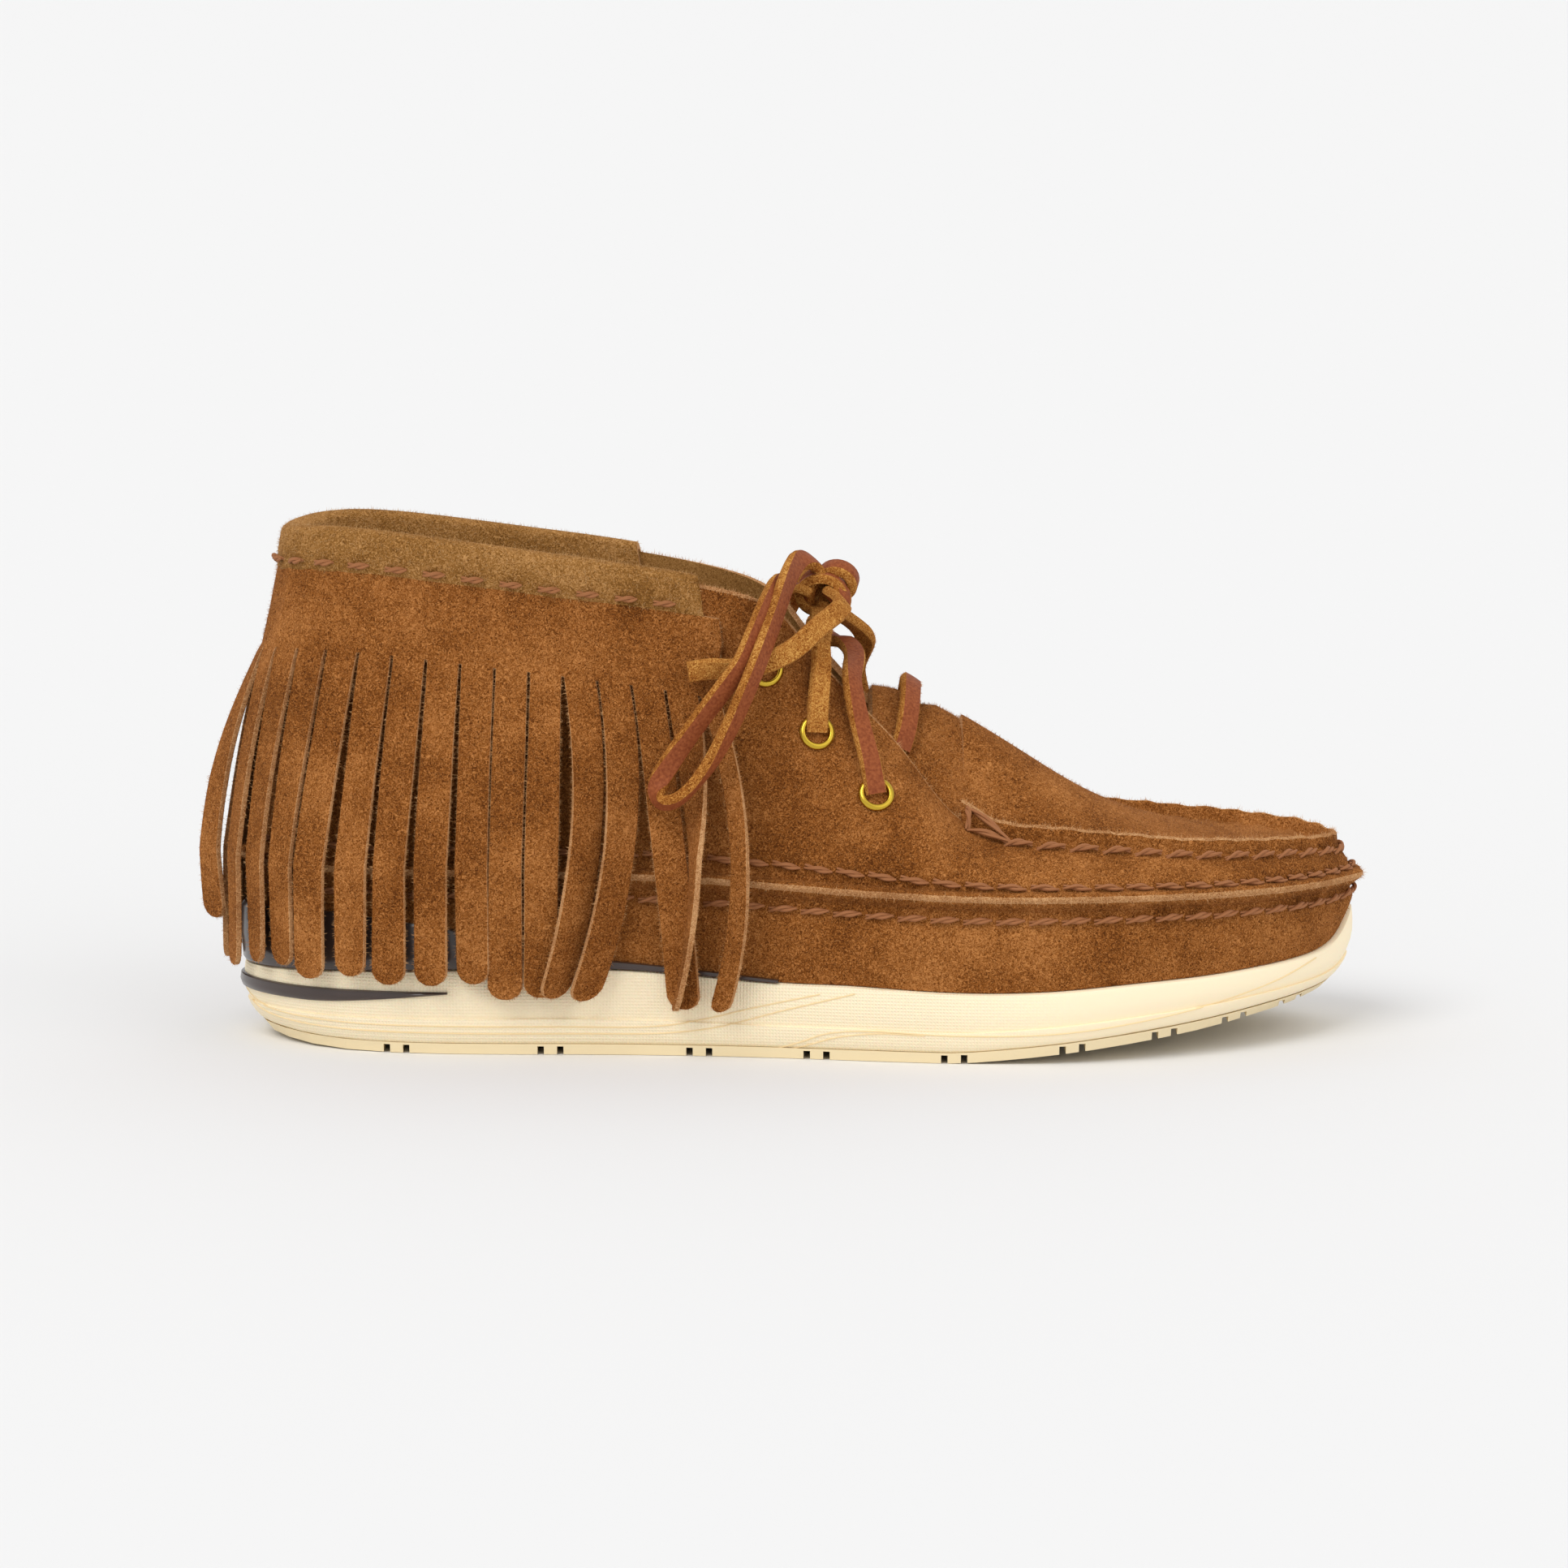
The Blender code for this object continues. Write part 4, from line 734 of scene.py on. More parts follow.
for number, route in enumerate(SOLE_LINES):
    line = smooth_line(np.array([(x, 0, z) for x, z in route]) / 1000, 12)
    for i, (x, _, z) in enumerate(line):
        low = np.interp(x, plan[:half_round, 0], side_bottom[:half_round])
        high = np.interp(x, plan[:half_round, 0], rim[:half_round])
        side = side_loop(z, np.interp((z - low) / (high - low), SIDE_SHARES, SIDE_PROUD))
        line[i] = (x, np.interp(x, side[:half_round, 0], side[:half_round, 1]), z)
    facing = np.gradient(line, axis=0)
    facing = np.stack([facing[:, 1], -facing[:, 0], np.zeros(len(line))], 1)
    profile = np.array([(-1, -1.2), (-0.5, 0.8), (0.0, 1.0), (0.5, 0.8), (1, -1.2)])
    points, faces = swept(line, facing, profile * (LINE_WIDTH / 2, LINE_HEIGHT))
    # Each line is a low ridge in the darker cream of painted shade.
    ridge = mesh_piece(f"sole_line_{number + 1}", points, faces, [foam_line_shade])

# Moulded rubber tread: denser and a little yellower than the foam.
rubber = new_finish("moulded_rubber", "#F0DDB4", 0.5)
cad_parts["outsole"].data.materials[0] = rubber

# Heel clip: a glossy dark brown plastic cup round the heel, cemented over the suede, with a band let
# into the foam below it. The cup thins to a narrow rim towards the arch.

CUP_WALL = 0.0011
# How far up the wrap the cup stands at each station from the back, as shares.
CUP_TOPS = (0.62, 0.64, 0.66, 0.50, 0.11, 0.055, 0.03)
# Rows of the cup: share of its height, and how far it stands off the suede in metres.
CUP_ROWS = ((0.0, 0.0014), (0.05, 0.0018), (0.5, 0.0018), (0.93, 0.0017), (1.0, 0.0011))
BAND_LOW = 0.0130
BAND_HIGH = 0.0167
BAND_INSET = 0.0010
# Rows of the band: share of its height, and how far it stands proud of the foam in metres.
BAND_ROWS = ((0.0, 0.0000), (0.08, 0.0005), (0.5, 0.0008), (0.92, 0.0005), (1.0, 0.0000))
# Injection-moulded TPU: dark brown with a soft gloss from a polished mould.
plastic = new_finish("moulded_tpu", "#3B2D28", 0.30, Coat_Weight=0.3)

cup_stations = len(CUP_TOPS) - 1
order = np.arange(-cup_stations * FINE, cup_stations * FINE + 1)
cup_tops = np.zeros(loop_count)
cup_tops[order] = np.interp(np.abs(order) / FINE, np.arange(len(CUP_TOPS)), CUP_TOPS)
out_round = upper_loops()[4]
rows = [(lower_wall(cup_tops * share) + out_round * lift)[order] for share, lift in CUP_ROWS]
inner_rows = [row - out_round[order] * CUP_WALL for row in rows]
counter = thick_piece("heel_cup", np.concatenate(rows), np.concatenate(inner_rows),
                      band_faces(len(rows), len(order), closed=False), [plastic])
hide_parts("heel_counter")

order = np.arange(-3 * FINE, 3 * FINE + 1)
rows, inner_rows = [], []
taper = np.clip(np.abs(order) / FINE - 1.6, 0, None) ** 1.5 / 1.75
for share, proud in BAND_ROWS:
    height = np.full(sole_count, BAND_LOW)
    height[order] = BAND_HIGH - (BAND_HIGH - BAND_LOW) * (1 - share) * (1 - 0.9 * taper)
    rows.append(side_loop(height, proud)[order])
    inner_rows.append(side_loop(height, -BAND_INSET)[order])
heel_band = thick_piece("heel_trim", np.concatenate(rows), np.concatenate(inner_rows),
                        band_faces(len(rows), len(order), closed=False), [plastic])
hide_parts("heel_band")

# Sock liner: a thin leather insole, cut to the floor of the foam unit and glued in. It shows only
# through the collar.

# Drum-dyed sock leather, worn matt.
liner = new_finish("drum_dyed_leather", "#8F7350", 0.85)
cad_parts["insole"].data.materials[0] = liner

# Tongue: a soft flap of the same suede that carries on from the apron, under the edges of both
# quarters. It is sewn in at the apron's rear edge and free at its top.

TONGUE_WALL = 0.0020
TONGUE_TOP = 8.5
TONGUE_SHARES = np.linspace(0, 1, 25)


def tongue_sections(lift):
    """Sections of the tongue's face, from the apron's rear edge up to its free end."""
    top_row = TOP_ROW * loop_count
    under_row = top_row - 5 * loop_count
    crest = crest_heights()
    depth = WALL + 2 * CLEARANCE - lift
    sections = []
    for index in range(BAR_TACK * FINE, int(TONGUE_TOP * FINE) - 1, -2):
        ends = []
        for row, i in ((under_row, index), (top_row, index), (top_row, loop_count - index),
                       (under_row, loop_count - index)):
            ends.append(skin[row + i] - skin_normals[row + i] * depth)
        arch = apron_section(ends[1], ends[2], crest[index] - CLEARANCE + lift, TONGUE_SHARES)
        crease = 0.0008 * math.sin(index * 0.9) * np.sin(math.pi * TONGUE_SHARES)
        arch[:, 2] += crease
        sections.append(np.array([ends[0], *arch, ends[3]]))
    under_apron = sections[0] + (sections[0] - sections[1]) * 2.2 - np.array([0, 0, 0.0006])
    return [under_apron, *sections]


outer = tongue_sections(0.0)
inner = tongue_sections(-TONGUE_WALL)
tongue = thick_piece("tongue_flap", np.concatenate(outer), np.concatenate(inner),
                     band_faces(len(outer), len(outer[0]), closed=False), [suede, cut_edge, lining])
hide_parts("tongue")
nap(tongue, "tongue_nap", suede_hair, count=14000, length=0.0009, seed=12)

# Collar cuff: a strip of paler suede folded over the top line, both ends cut square at the throat,
# held by one row of running stitches.

CUFF_WALL = 0.0018
CUFF_DEPTH = 0.0092
CUFF_INNER_DEPTH = 0.0055
CUFF_STITCH_PITCH = 0.0100
CUFF_STITCH_LENGTH = 0.0056
# Lighter, looser suede than the upper's, with a slightly longer nap.
cuff_suede = suede_finish("long_napped_suede", "#68431C", "#90632F", "#BC8C56", 0.28)


def collar_frames(lateral_end, medial_end):
    """Points of the top edge between two ends, with the way out of the wall and the way down."""
    top = upper_wall(1.0)
    down = upper_wall(0.85) - top
    down /= np.linalg.norm(down, axis=1)[:, None]
    out = np.cross(down, np.roll(top, -1, 0) - np.roll(top, 1, 0))
    out /= np.linalg.norm(out, axis=1)[:, None]
    order = np.arange(-medial_end, lateral_end + 1) % len(top)
    return top[order], out[order], down[order]


cuff_top, cuff_out, cuff_down = collar_frames(round(5.5 * FINE), 5 * FINE)
inside, outside, fold = -WALL - 2 * CLEARANCE, CLEARANCE, -2 * CLEARANCE
profile = [(outside, CUFF_DEPTH), (outside + 0.7 * CUFF_WALL, CUFF_DEPTH),
           (outside + CUFF_WALL, CUFF_DEPTH - 0.0008), (outside + 0.9 * CUFF_WALL, CUFF_DEPTH - 0.0030),
           (outside + 1.15 * CUFF_WALL, CUFF_DEPTH / 2)]
for angle in np.linspace(0, math.pi, 9):
    middle = (inside + outside) / 2
    profile.append((middle + math.cos(angle) * (outside - inside + 2 * CUFF_WALL) / 2,
                    fold - math.sin(angle) * CUFF_WALL * 1.15))
profile += [(inside - CUFF_WALL, CUFF_INNER_DEPTH), (inside, CUFF_INNER_DEPTH),
            (inside, fold), (outside, fold)]
profile = np.array(profile)
size = 1 + 0.03 * np.sin(np.arange(len(cuff_top)) * 0.7)
points = (cuff_top[:, None] + cuff_out[:, None] * profile[None, :, :1] * size[:, None, None]
          + cuff_down[:, None] * profile[None, :, 1:])
count = len(profile)
faces = ring_faces(len(cuff_top), count)
last = (len(cuff_top) - 1) * count
slots = [0] * len(faces) + [1, 1]
faces += [tuple(range(count)), tuple(range(last, last + count))]
cuff = mesh_piece("cuff_fold", points.reshape(-1, 3), faces, [cuff_suede, cut_edge], slots)
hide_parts("collar_cuff")
cuff_hair = new_finish("long_nap", "#BE9460", 1.0)
nap(cuff, "cuff_nap", cuff_hair, count=16000, length=0.0010, seed=13)

cuff_line = cuff_top + cuff_out * (outside + 1.12 * CUFF_WALL) + cuff_down * (CUFF_DEPTH - 0.0026)
stitch_row(cuff_line, cuff_out, 0, len(cuff_line) - 1, 0.0002, "cuff_stitches", CUFF_STITCH_PITCH,
           CUFF_STITCH_LENGTH)

# Fringe: one suede skirt sewn under the cuff. Its lower part is cut into strips that hang free, and
# the strips at its lateral front edge twist, so that their pale cut edges show.

FRINGE_WALL = 0.0016
FRINGE_FLARE = 0.0042
FRINGE_FRONT = 0.4325
CUFF_SETBACK = 0.0040
FAN_START = 0.0470
STRIP_COUNT = 31
FIRST_STRIP = 0.65
STRIP_SPREAD = 0.10
STRIP_GAP = 0.0007
STRIP_LENGTH = 0.0845
BAND = 0.0200
STRIP_STEPS = 26
FINER = 20

# The strips that hang their own way, numbered from the lateral front edge: drop in metres, lean
# halfway and at the tip in metres (minus is towards the toe), turn halfway and at the tip in
# degrees, stand-off in metres. Number 15 is the loose one behind the heel.
FREE_STRIPS = {
    0: (0.0815, -0.0085, -0.0030, -34, -20, 0.0034),
    1: (0.0825, -0.0042, 0.0012, -72, -80, 0.0034),
    2: (0.0835, -0.0060, -0.0100, 6, -20, 0.0006),
    3: (0.0825, -0.0022, 0.0075, 28, 34, 0.0022),
    4: (0.0830, -0.0022, 0.0065, 30, 36, 0.0014),
    5: (0.0840, 0.0002, 0.0006, 5, 8, 0.0004),
    15: (0.0740, 0.0010, 0.0015, 24, 32, 0.0048),
}


def rail(line, shares):
    """Points at shares of a line's length."""
    reach = reach_along(line)
    return place_at(line, reach, np.asarray(shares) * reach[-1])


def front_to_front(line):
    """The part of a loop behind the fringe's front edges, from lateral to medial."""
    half = len(line) // 2
    run = line[np.arange(half, -half, -1)]
    front = FRINGE_FRONT * LENGTH - HEEL_SEAT
    lateral = run[:half][run[:half, 0] < front]
    medial = run[half:][run[half:, 0] < front - CUFF_SETBACK]
    return np.concatenate([lateral, medial])


def fringe_rails():
    """Lines round the ankle that the skirt hangs along, from the cuff to the strips' knees."""
    top = upper_wall(1.0, FINER)
    columns = np.stack([upper_wall(share, FINER) for share in np.linspace(1, 0, 60)])
    drop = top[:, 2] - columns[:, :, 2]
    normal = outward(top[:, :2])
    rails = []
    for depth, lift in ((CUFF_DEPTH - 0.0012, 0.0004), (CUFF_DEPTH + 0.0045, 0.0009),
                        (CUFF_DEPTH + 0.010, 0.0013), (CUFF_DEPTH + 0.015, 0.0019),
                        (CUFF_DEPTH + BAND, 0.0024)):
        line = np.empty((len(top), 3))
        for i in range(len(top)):
            for axis in range(3):
                line[i, axis] = np.interp(depth, drop[:, i], columns[:, i, axis])
        line[:, :2] += normal * (lift + FRINGE_WALL / 2)
        rails.append(front_to_front(line))
    sole_plan, sole_out, _, _, _, _ = sole_loops(FINER)
    low = with_height(sole_plan + sole_out * FRINGE_FLARE, SEAM_HEIGHT * 1.1)
    return [*rails, front_to_front(low)]


def strip_edges():
    """Shares of the way round at which the skirt is cut: its first strip is narrower."""
    widths = np.ones(STRIP_COUNT)
    widths[0] = FIRST_STRIP
    return np.concatenate([[0], np.cumsum(widths)]) / widths.sum()


def low_spread(high, low):
    """Where each strip hangs on the low rail: straight down at the sides, fanned at the heel."""
    edges = strip_edges()
    middle = (edges[1:] + edges[:-1]) / 2 * high
    near = np.minimum(middle, high - middle)
    fan = np.clip((near - FAN_START) / (high / 2 - FAN_START), 0, 1)
    down = near + (low - high) / 2 * fan * fan * (3 - 2 * fan)
    return np.where(middle <= high / 2, down, low - down) / low


def strip_rows(number, start, side_high, knee, side_low, width):
    """The two edges of a strip and the way it faces, from its slit down to its tip."""
    wave = math.sin(2.4 * number) + 0.6 * math.sin(5.1 * number + 1.0)
    side_turn = -1 if number < STRIP_COUNT / 2 else 1
    drop, lean, tip_lean, turn, tip_turn, stand = FREE_STRIPS.get(number, (
        STRIP_LENGTH * (1 + 0.014 * wave), 0.0003 * wave, 0.0006 * wave, side_turn * (8 - 3 * wave),
        side_turn * (13 - 5 * wave), 0.0004 * wave))
    slope = np.linalg.norm(knee - start)
    for share in np.concatenate([np.linspace(0.03, 0.94, STRIP_STEPS), [0.965, 0.985, 0.996, 1.0]]):
        gone = share * drop
        t = min(1.0, gone / slope)
        place = start * (1 - t) + knee * t
        place = place - np.array([0, 0, max(0.0, gone - slope)])
        side = side_high * (1 - share) + side_low * share
        side /= np.linalg.norm(side)
        face = np.cross(side, (0, 0, -1.0))
        shift = 4 * share * (1 - share) * (lean - tip_lean / 2) + tip_lean * share
        curl = 0.0007 * math.sin(4.5 * share + number) * share
        place = place + side * shift + face * (0.0010 * math.sin(math.pi * t) + curl
                                               + stand * math.sin(math.pi * min(1, share * 0.85)))
        angle = math.radians(turn * min(1, 2 * share) + (tip_turn - turn) * max(0, 2 * share - 1))
        across = side * math.cos(angle) + face * math.sin(angle)
        out = face * math.cos(angle) - side * math.sin(angle)
        end = max(0.0, (share * drop - (drop - width / 2)) / (width / 2))
        half = width / 2 * math.sqrt(max(0.03, 1 - end**2.4))
        half *= 1 + STRIP_SPREAD * share + 0.02 * math.sin(9 * share + 2 * number)
        yield place - across * half, place + across * half, out


rails = fringe_rails()
cuts = strip_edges()
edges = np.repeat(cuts, 2)[1:-1]
bands = []
for line in rails[:5]:
    row = rail(line, edges)
    across = row[1::2] - row[::2]
    across /= np.linalg.norm(across, axis=1)[:, None]
    row[::2] += across * STRIP_GAP / 2
    row[1::2] -= across * STRIP_GAP / 2
    bands.append(row)
high_length = np.linalg.norm(np.diff(rails[4], axis=0), axis=1).sum()
low_length = np.linalg.norm(np.diff(rails[5], axis=0), axis=1).sum()
spread = low_spread(high_length, low_length)
knees = rail(rails[5], spread)
ways = rail(rails[5], np.clip(spread + 0.002, 0, 1)) - rail(rails[5], spread - 0.002)
starts = rail(rails[4], (cuts[1:] + cuts[:-1]) / 2)
points, normals = [*np.concatenate(bands)], []
for band in bands:
    along = np.gradient(band, axis=0)
    normal = np.stack([-along[:, 1], along[:, 0], np.zeros(len(band))], 1)
    normals += [*(normal / np.linalg.norm(normal, axis=1)[:, None])]
faces = band_faces(5, 2 * STRIP_COUNT, closed=False)
for number in range(STRIP_COUNT):
    left, right = 8 * STRIP_COUNT + 2 * number, 8 * STRIP_COUNT + 2 * number + 1
    side_high = bands[4][2 * number + 1] - bands[4][2 * number]
    width = np.linalg.norm(side_high)
    side_low = ways[number] / np.linalg.norm(ways[number])
    for low_left, low_right, out in strip_rows(number, starts[number], side_high / width, knees[number],
                                               side_low, width):
        points += [low_left, low_right]
        normals += [out, out]
        faces.append((left, right, len(points) - 1, len(points) - 2))
        left, right = len(points) - 2, len(points) - 1
points, normals = np.array(points), np.array(normals)
half_wall = normals * FRINGE_WALL / 2
fringe = thick_piece("fringe_skirt", points + half_wall, points - half_wall, faces,
                     [suede, cut_edge, lining])
soften = fringe.modifiers.new("soft_edges", "BEVEL")
soften.width = 0.0004
soften.segments = 2
soften.limit_method = "ANGLE"
soften.angle_limit = math.radians(50)
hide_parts("fringe")
nap(fringe, "fringe_nap", suede_hair, count=45000, length=0.0009, seed=14)
nap(fringe, "fringe_edge_nap", edge_hair, count=24000, length=0.0009, seed=16, finishes=(1,))

# Eyelets: rings stamped from brass sheet and rolled over, three a side, set through the quarters from
# outside.

# Each pair's station, and its share of the way from the seam to the quarter's edge.
EYELETS = ((8.05, 0.50), (7.05, 0.62), (6.10, 0.75))
EYELET_SIDES = 32
# Stamped and rolled brass, lightly tumbled: a clear yellow with soft highlights.
brass = new_finish("tumbled_brass", "#C9A83A", 0.24, Metallic=1.0)


def quarter_point(station, share, side):
    """A point of the outer skin of a quarter, and the way that the skin faces there."""
    index = round(station * FINER) * (-1 if side == "medial" else 1)
    here, above = upper_wall(share, FINER), upper_wall(share + 0.05, FINER)
    facing = np.cross(here[index + 1] - here[index - 1], above[index] - here[index])
    return here[index], facing / np.linalg.norm(facing)


# The ring's section: radius from its axis and height over the suede, in metres.
EYELET_PROFILE = ((0.0031, -0.0022), (0.0031, 0.0008), (0.00325, 0.00125), (0.0036, 0.00145),
                  (0.0041, 0.0013), (0.00455, 0.0010), (0.00475, 0.0006), (0.0047, 0.0002),
                  (0.0036, 0.0001), (0.0035, -0.0022))
for number, (station, share) in enumerate(EYELETS):
    for side in ("lateral", "medial"):
        centre, facing = quarter_point(station, share, side)
        first = np.cross(facing, (0, 0, 1.0))
        first /= np.linalg.norm(first)
        second = np.cross(facing, first)
        turns = np.linspace(0, math.tau, EYELET_SIDES + 1)[:-1]
        ring = [centre + (first * math.cos(a) + second * math.sin(a)) * radius + facing * height
                for a in turns for radius, height in EYELET_PROFILE]
        faces = ring_faces(EYELET_SIDES, len(EYELET_PROFILE), closed=True)
        name = f"eyelet_{side}_{number + 1}"
        eyelet = mesh_piece(f"ring_{side}_{number + 1}", ring, faces, [brass])
        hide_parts(name)

# Lace: one flat strip of leather, red-brown and smooth on its face, golden and fuzzy at its edges and
# back. It crosses the throat in a bar and two crossings, and ends in a bow with two loops.

LACE_WIDTH = 0.0056
LACE_THICKNESS = 0.0026
INSTEP_AXIS = (0.100, 0.0, 0.060)
PORES_PER_CM = 13
# Oiled latigo leather: smooth red-brown grain side with a waxy, low shine. Its pores are drawn at
# more than twice their size so that they show.
lace_face = new_finish("oiled_leather_grain", "#8E4A2A", 0.55, Specular_IOR_Level=0.12)
place = add_node(lace_face, "ShaderNodeTexCoord").outputs["Object"]
grain = add_node(lace_face, "ShaderNodeTexNoise", {"Vector": place}, Scale=100 * PORES_PER_CM,
                 Detail=5.0)
tint = ramp(lace_face, grain.outputs["Fac"], ((0.30, "#793A1E"), (0.72, "#9E5832")))
bump = add_node(lace_face, "ShaderNodeBump", {"Height": grain.outputs["Fac"]}, Strength=0.5,
                Distance=0.0002)
lace_face.node_tree.links.new(tint, main_shader(lace_face).inputs["Base Color"])
lace_face.node_tree.links.new(bump.outputs["Normal"], main_shader(lace_face).inputs["Normal"])
# The same lace on its cut edges and rough back: golden fibres over brown.
lace_edge = suede_finish("oiled_leather_flesh", "#6E3A12", "#A4662A", "#D09A50", 0.2)

# A place on a quarter is its side, station, share of the way from seam to edge and lift off the skin;
# a free place is X, Y, Z. Lengths are in millimetres.
LACE_CROSS = (("lateral", 8.05, 0.50, 0.4), ("lateral", 8.00, 0.64, 2.9), ("lateral", 7.92, 0.82, 3.2),
              ("lateral", 7.85, 1.00, 3.6),
              (106.2, -9.0, 101.8), (103.6, 0.0, 104.2), (100.6, 9.0, 103.4),
              ("medial", 7.20, 1.00, 3.6), ("medial", 7.12, 0.82, 3.2), ("medial", 7.08, 0.72, 2.6),
              ("medial", 7.05, 0.62, 0.4))
LACE_NEAR = (("lateral", 7.05, 0.62, 0.4), ("lateral", 7.10, 0.74, 3.0), ("lateral", 7.20, 0.90, 3.8),
             ("lateral", 7.20, 1.00, 4.4), (97.6, -12.5, 109.4), (97.4, -4.0, 112.6))
LACE_FAR = (("medial", 8.05, 0.50, 0.4), ("medial", 8.02, 0.64, 2.9), ("medial", 7.98, 0.84, 3.4),
            ("medial", 7.95, 1.00, 4.2), (109.2, 11.0, 104.0), (104.0, 4.5, 110.0), (97.4, -3.0, 113.8))
LACE_BAR = ((118.0, -21.4, 78.2), (119.5, -19.0, 82.8), (120.5, -14.2, 88.0), (121.0, -7.2, 92.2),
            (121.2, 0.0, 93.6), (121.0, 6.2, 92.3), (120.5, 12.2, 88.6), (119.5, 17.0, 83.4),
            (118.0, 19.6, 78.6))


def lace_route(route, steps=8):
    """The places of a route over the quarters, and the way that the lace faces at each."""
    places, ways = [], []
    for stop in route:
        if len(stop) == 4:
            side, station, share, lift = stop
            spot, way = quarter_point(station, share, side)
            places.append(spot + way * lift / 1000)
        else:
            places.append(np.array(stop) / 1000)
            way = places[-1] - INSTEP_AXIS
        ways.append(way / np.linalg.norm(way))
    return smooth_line(places, steps), smooth_line(ways, steps)


def ribbon(name, line, facing, flip=False):
    """A flat lace with rounded edges: its smooth face is one finish and the rest another."""
    w, t = LACE_WIDTH / 2, LACE_THICKNESS / 2 * (-1 if flip else 1)
    profile = [(-w * 0.82, t), (-w * 0.3, t * 1.08), (w * 0.3, t * 1.08), (w * 0.82, t), (w, t * 0.4),
               (w, -t * 0.4), (w * 0.82, -t), (0, -t * 1.06), (-w * 0.82, -t), (-w, -t * 0.4),
               (-w, t * 0.4)]
    points, faces = swept(line, facing, profile)
    count = len(profile)
    slots = [0 if i % count < 3 else 1 for i in range(len(faces) - 2)] + [1, 1]
    piece = mesh_piece(name, points, faces, [lace_face, lace_edge], slots)
    return piece


lace_hair = new_finish("leather_fibre", "#C98B3E", 1.0)
lace_cross = ribbon("lace_over_throat", *lace_route(LACE_CROSS))
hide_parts("lace_cross")
riser_near = ribbon("lace_riser_near", *lace_route(LACE_NEAR), flip=True)
riser_far = ribbon("lace_riser_far", *lace_route(LACE_FAR))
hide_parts("lace_risers")
lace_bar = ribbon("lace_low_bar", *lace_route(LACE_BAR))
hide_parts("lace_bar_low")
for number, piece in enumerate((lace_cross, riser_near, riser_far, lace_bar)):
    nap(piece, piece.name + "_nap", lace_hair, count=1500, length=0.0006,
        seed=20 + number, finishes=(1,))

# Bow: the free part of the same leather lace, tied by hand over the tongue. A knot wrapped round
# itself holds a loop on each side and one short end.

LOOP_NEAR = ((94.0, -4.0, 117.6), (89.2, -6.0, 119.6), (86.6, -15.0, 121.0), (83.6, -27.8, 117.4),
             (79.8, -37.2, 109.5), (77.0, -42.0, 103.5), (72.5, -44.0, 97.5), (66.0, -45.2, 89.0),
             (60.0, -46.0, 80.5), (55.5, -47.0, 72.5), (56.5, -49.0, 68.4), (61.5, -50.0, 70.0),
             (68.5, -48.5, 78.0), (74.8, -46.3, 89.5), (80.5, -42.6, 102.5), (85.0, -31.0, 113.5),
             (88.6, -18.0, 122.5), (91.6, -8.0, 126.4), (95.5, -3.0, 125.0), (97.5, -2.0, 121.0))
LOOP_FAR = ((97.2, 1.0, 117.8), (96.6, 13.0, 120.6), (92.0, 25.5, 116.0), (87.0, 33.5, 106.0),
            (81.0, 39.5, 94.0), (74.5, 43.8, 82.0), (70.5, 46.0, 73.0), (72.5, 47.6, 69.0),
            (78.0, 47.5, 72.0), (84.5, 44.5, 82.0), (91.0, 39.0, 94.0), (97.5, 31.0, 105.5),
            (101.5, 21.0, 115.0), (103.8, 11.0, 121.0), (101.0, 1.8, 120.4))
END_NEAR = ((100.0, -5.0, 117.0), (102.8, -17.6, 115.4), (97.0, -27.8, 111.5), (90.0, -33.8, 106.0),
            (82.5, -35.2, 102.6), (75.0, -36.6, 101.2), (69.0, -37.3, 101.4), (63.0, -38.0, 100.6))
# Each free part: node, route, rough side out or not, and roll in degrees in its first and last half.
FREE_LACES = (("lace_loop_near", LOOP_NEAR, True, (-38, 34)), ("lace_loop_far", LOOP_FAR, True, (0, 0)),
              ("lace_end_near", END_NEAR, False, (20, 30)))
# The knot's wraps: middle and axis, then the two half sizes in millimetres.
KNOT_WRAPS = (((97.6, -3.0, 117.0), (0.1, 1.0, 0.1), (6.8, 4.6)),
              ((100.6, -3.4, 114.6), (0.9, 0.5, -0.4), (5.0, 4.2)),
              ((101.8, 1.4, 120.2), (0.2, 0.9, 0.5), (5.2, 4.4)),
              ((95.6, 0.6, 118.0), (-0.8, 0.6, 0.3), (4.8, 4.0)))
WRAP_WIDTH = 0.0052
WRAP_THICKNESS = 0.0024


def bow_facing(line, rolls):
    """The way that a free lace faces, rolled about its path by degrees in its first and last half."""
    along = np.gradient(line, axis=0)
    along /= np.linalg.norm(along, axis=1)[:, None]
    middle = line.mean(axis=0)
    away = middle - line
    facing = np.cross(along, np.cross(away, along))
    size = np.linalg.norm(facing, axis=1)[:, None]
    facing = facing / np.maximum(size, 1e-6)
    for i in range(1, len(facing)):
        facing[i] = facing[i - 1] * 0.8 + facing[i] * 0.2
        facing[i] -= along[i] * (facing[i] @ along[i])
        facing[i] /= np.linalg.norm(facing[i])
    half_way = np.linspace(0, 1, len(line))
    roll = np.interp(half_way, (0.40, 0.60), np.radians(rolls))[:, None]
    return facing * np.cos(roll) + np.cross(along, facing) * np.sin(roll)


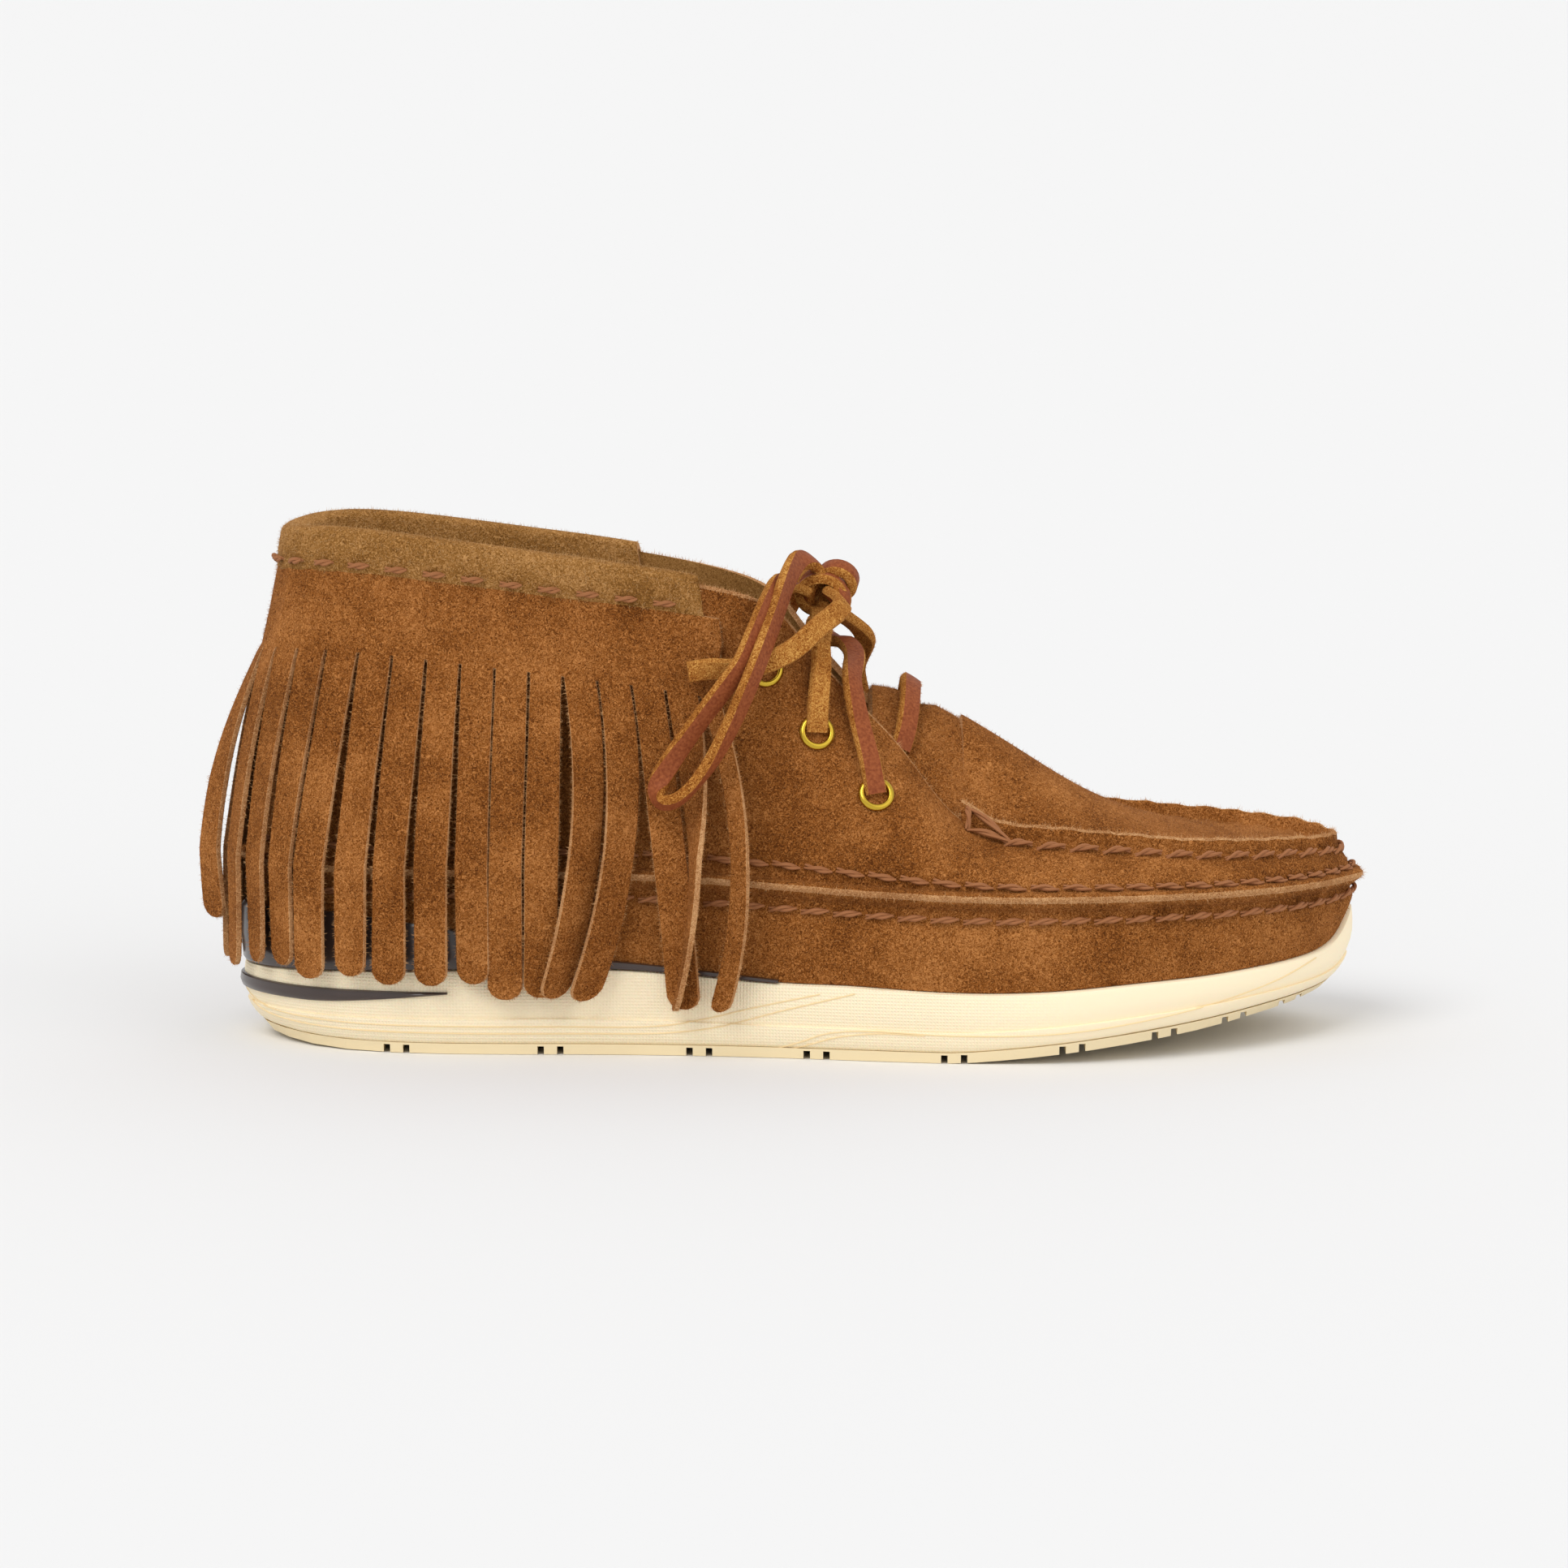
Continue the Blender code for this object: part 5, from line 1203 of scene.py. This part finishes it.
knot_parts = []
for centre, axis, size in KNOT_WRAPS:
    axis = np.array(axis) / np.linalg.norm(axis)
    side = np.cross(axis, (0, 0, 1.0))
    side /= np.linalg.norm(side)
    turns = np.linspace(0, math.tau, 30)
    loop = np.stack([np.cos(turns) * size[0] * 0.85, np.sin(turns) * size[1]], 1) / 1000
    up = np.cross(side, axis)
    line = np.array(centre) / 1000 + side * loop[:, :1] + up * loop[:, 1:]
    facing = line - np.array(centre) / 1000
    w, t = WRAP_WIDTH / 2, WRAP_THICKNESS / 2
    wrap = [(-w, t * 0.4), (-w * 0.7, t), (w * 0.7, t), (w, t * 0.4), (w, -t), (-w, -t)]
    knot_parts.append(swept(line, facing, wrap))
knot_points, knot_faces = merged(knot_parts)
wrap_slots = [int(i % len(wrap) != 1) for i in range(len(knot_faces) // len(knot_parts) - 2)] + [1, 1]
knot = mesh_piece("bow_knot", knot_points, knot_faces, [lace_face, lace_edge],
                  wrap_slots * len(knot_parts))
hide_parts("lace_knot")
for name, route, flip, rolls in FREE_LACES:
    line = smooth_line(np.array(route) / 1000, 10)
    piece = ribbon(name.replace("lace", "bow"), line, bow_facing(line, rolls), flip=flip)
    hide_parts(name)
    length = float(np.linalg.norm(np.diff(line, axis=0), axis=1).sum())
    tuple(line[0])
    [tuple(p) for p in line]

# Stage: a wide flat floor of pale paper, soft studio light from above and the left, and a camera placed
# so that the render lies on the photograph.

# The photograph's middle, in metres.
MIDDLE = (0.0877, 0, 0.0662)
ELEVATION = math.radians(8)
DISTANCE = 1.6
LENS_MM = 138.8
SENSOR_MM = 36
SKY_STRENGTH = 0.80
LAMP_AIM = (0.09, 0, 0.06)
# Each lamp: name, place, spread in degrees and power.
LAMPS = (("key", (-0.6, -1.0, 1.5), 35, 1.15), ("fill", (1.2, -1.1, 0.7), 60, 0.45))
# Seamless paper: plain, matt and nearly white.
paper = new_finish("seamless_paper", "#E9E9E9", 0.9)
bpy.ops.mesh.primitive_plane_add(size=120, location=(MIDDLE[0], 50, -0.0001))
floor = bpy.context.object
floor.name = "floor"
floor.data.materials.append(paper)

world = bpy.data.worlds.new("studio")
bpy.context.scene.world = world
world.use_nodes = True
sky = world.node_tree.nodes["Background"]
sky.inputs["Color"].default_value = colour("#FFFFFF")
sky.inputs["Strength"].default_value = SKY_STRENGTH

for name, place, spread, power in LAMPS:
    lamp = bpy.data.lights.new(name, "SUN")
    lamp.angle = math.radians(spread)
    lamp.energy = power
    light = bpy.data.objects.new(name, lamp)
    light.location = place
    aim = Vector(LAMP_AIM) - light.location
    light.rotation_euler = aim.to_track_quat("-Z", "Y").to_euler()
    bpy.context.scene.collection.objects.link(light)

target = Vector(MIDDLE)
camera = bpy.data.objects.new("camera", bpy.data.cameras.new("camera"))
camera.data.lens = LENS_MM
camera.data.sensor_width = SENSOR_MM
camera.location = target + DISTANCE * Vector((0, -math.cos(ELEVATION), math.sin(ELEVATION)))
camera.rotation_euler = (target - camera.location).to_track_quat("-Z", "Y").to_euler()
bpy.context.scene.collection.objects.link(camera)
bpy.context.scene.camera = camera
bpy.context.scene.view_settings.view_transform = "Standard"
bpy.context.scene.view_settings.look = "None"
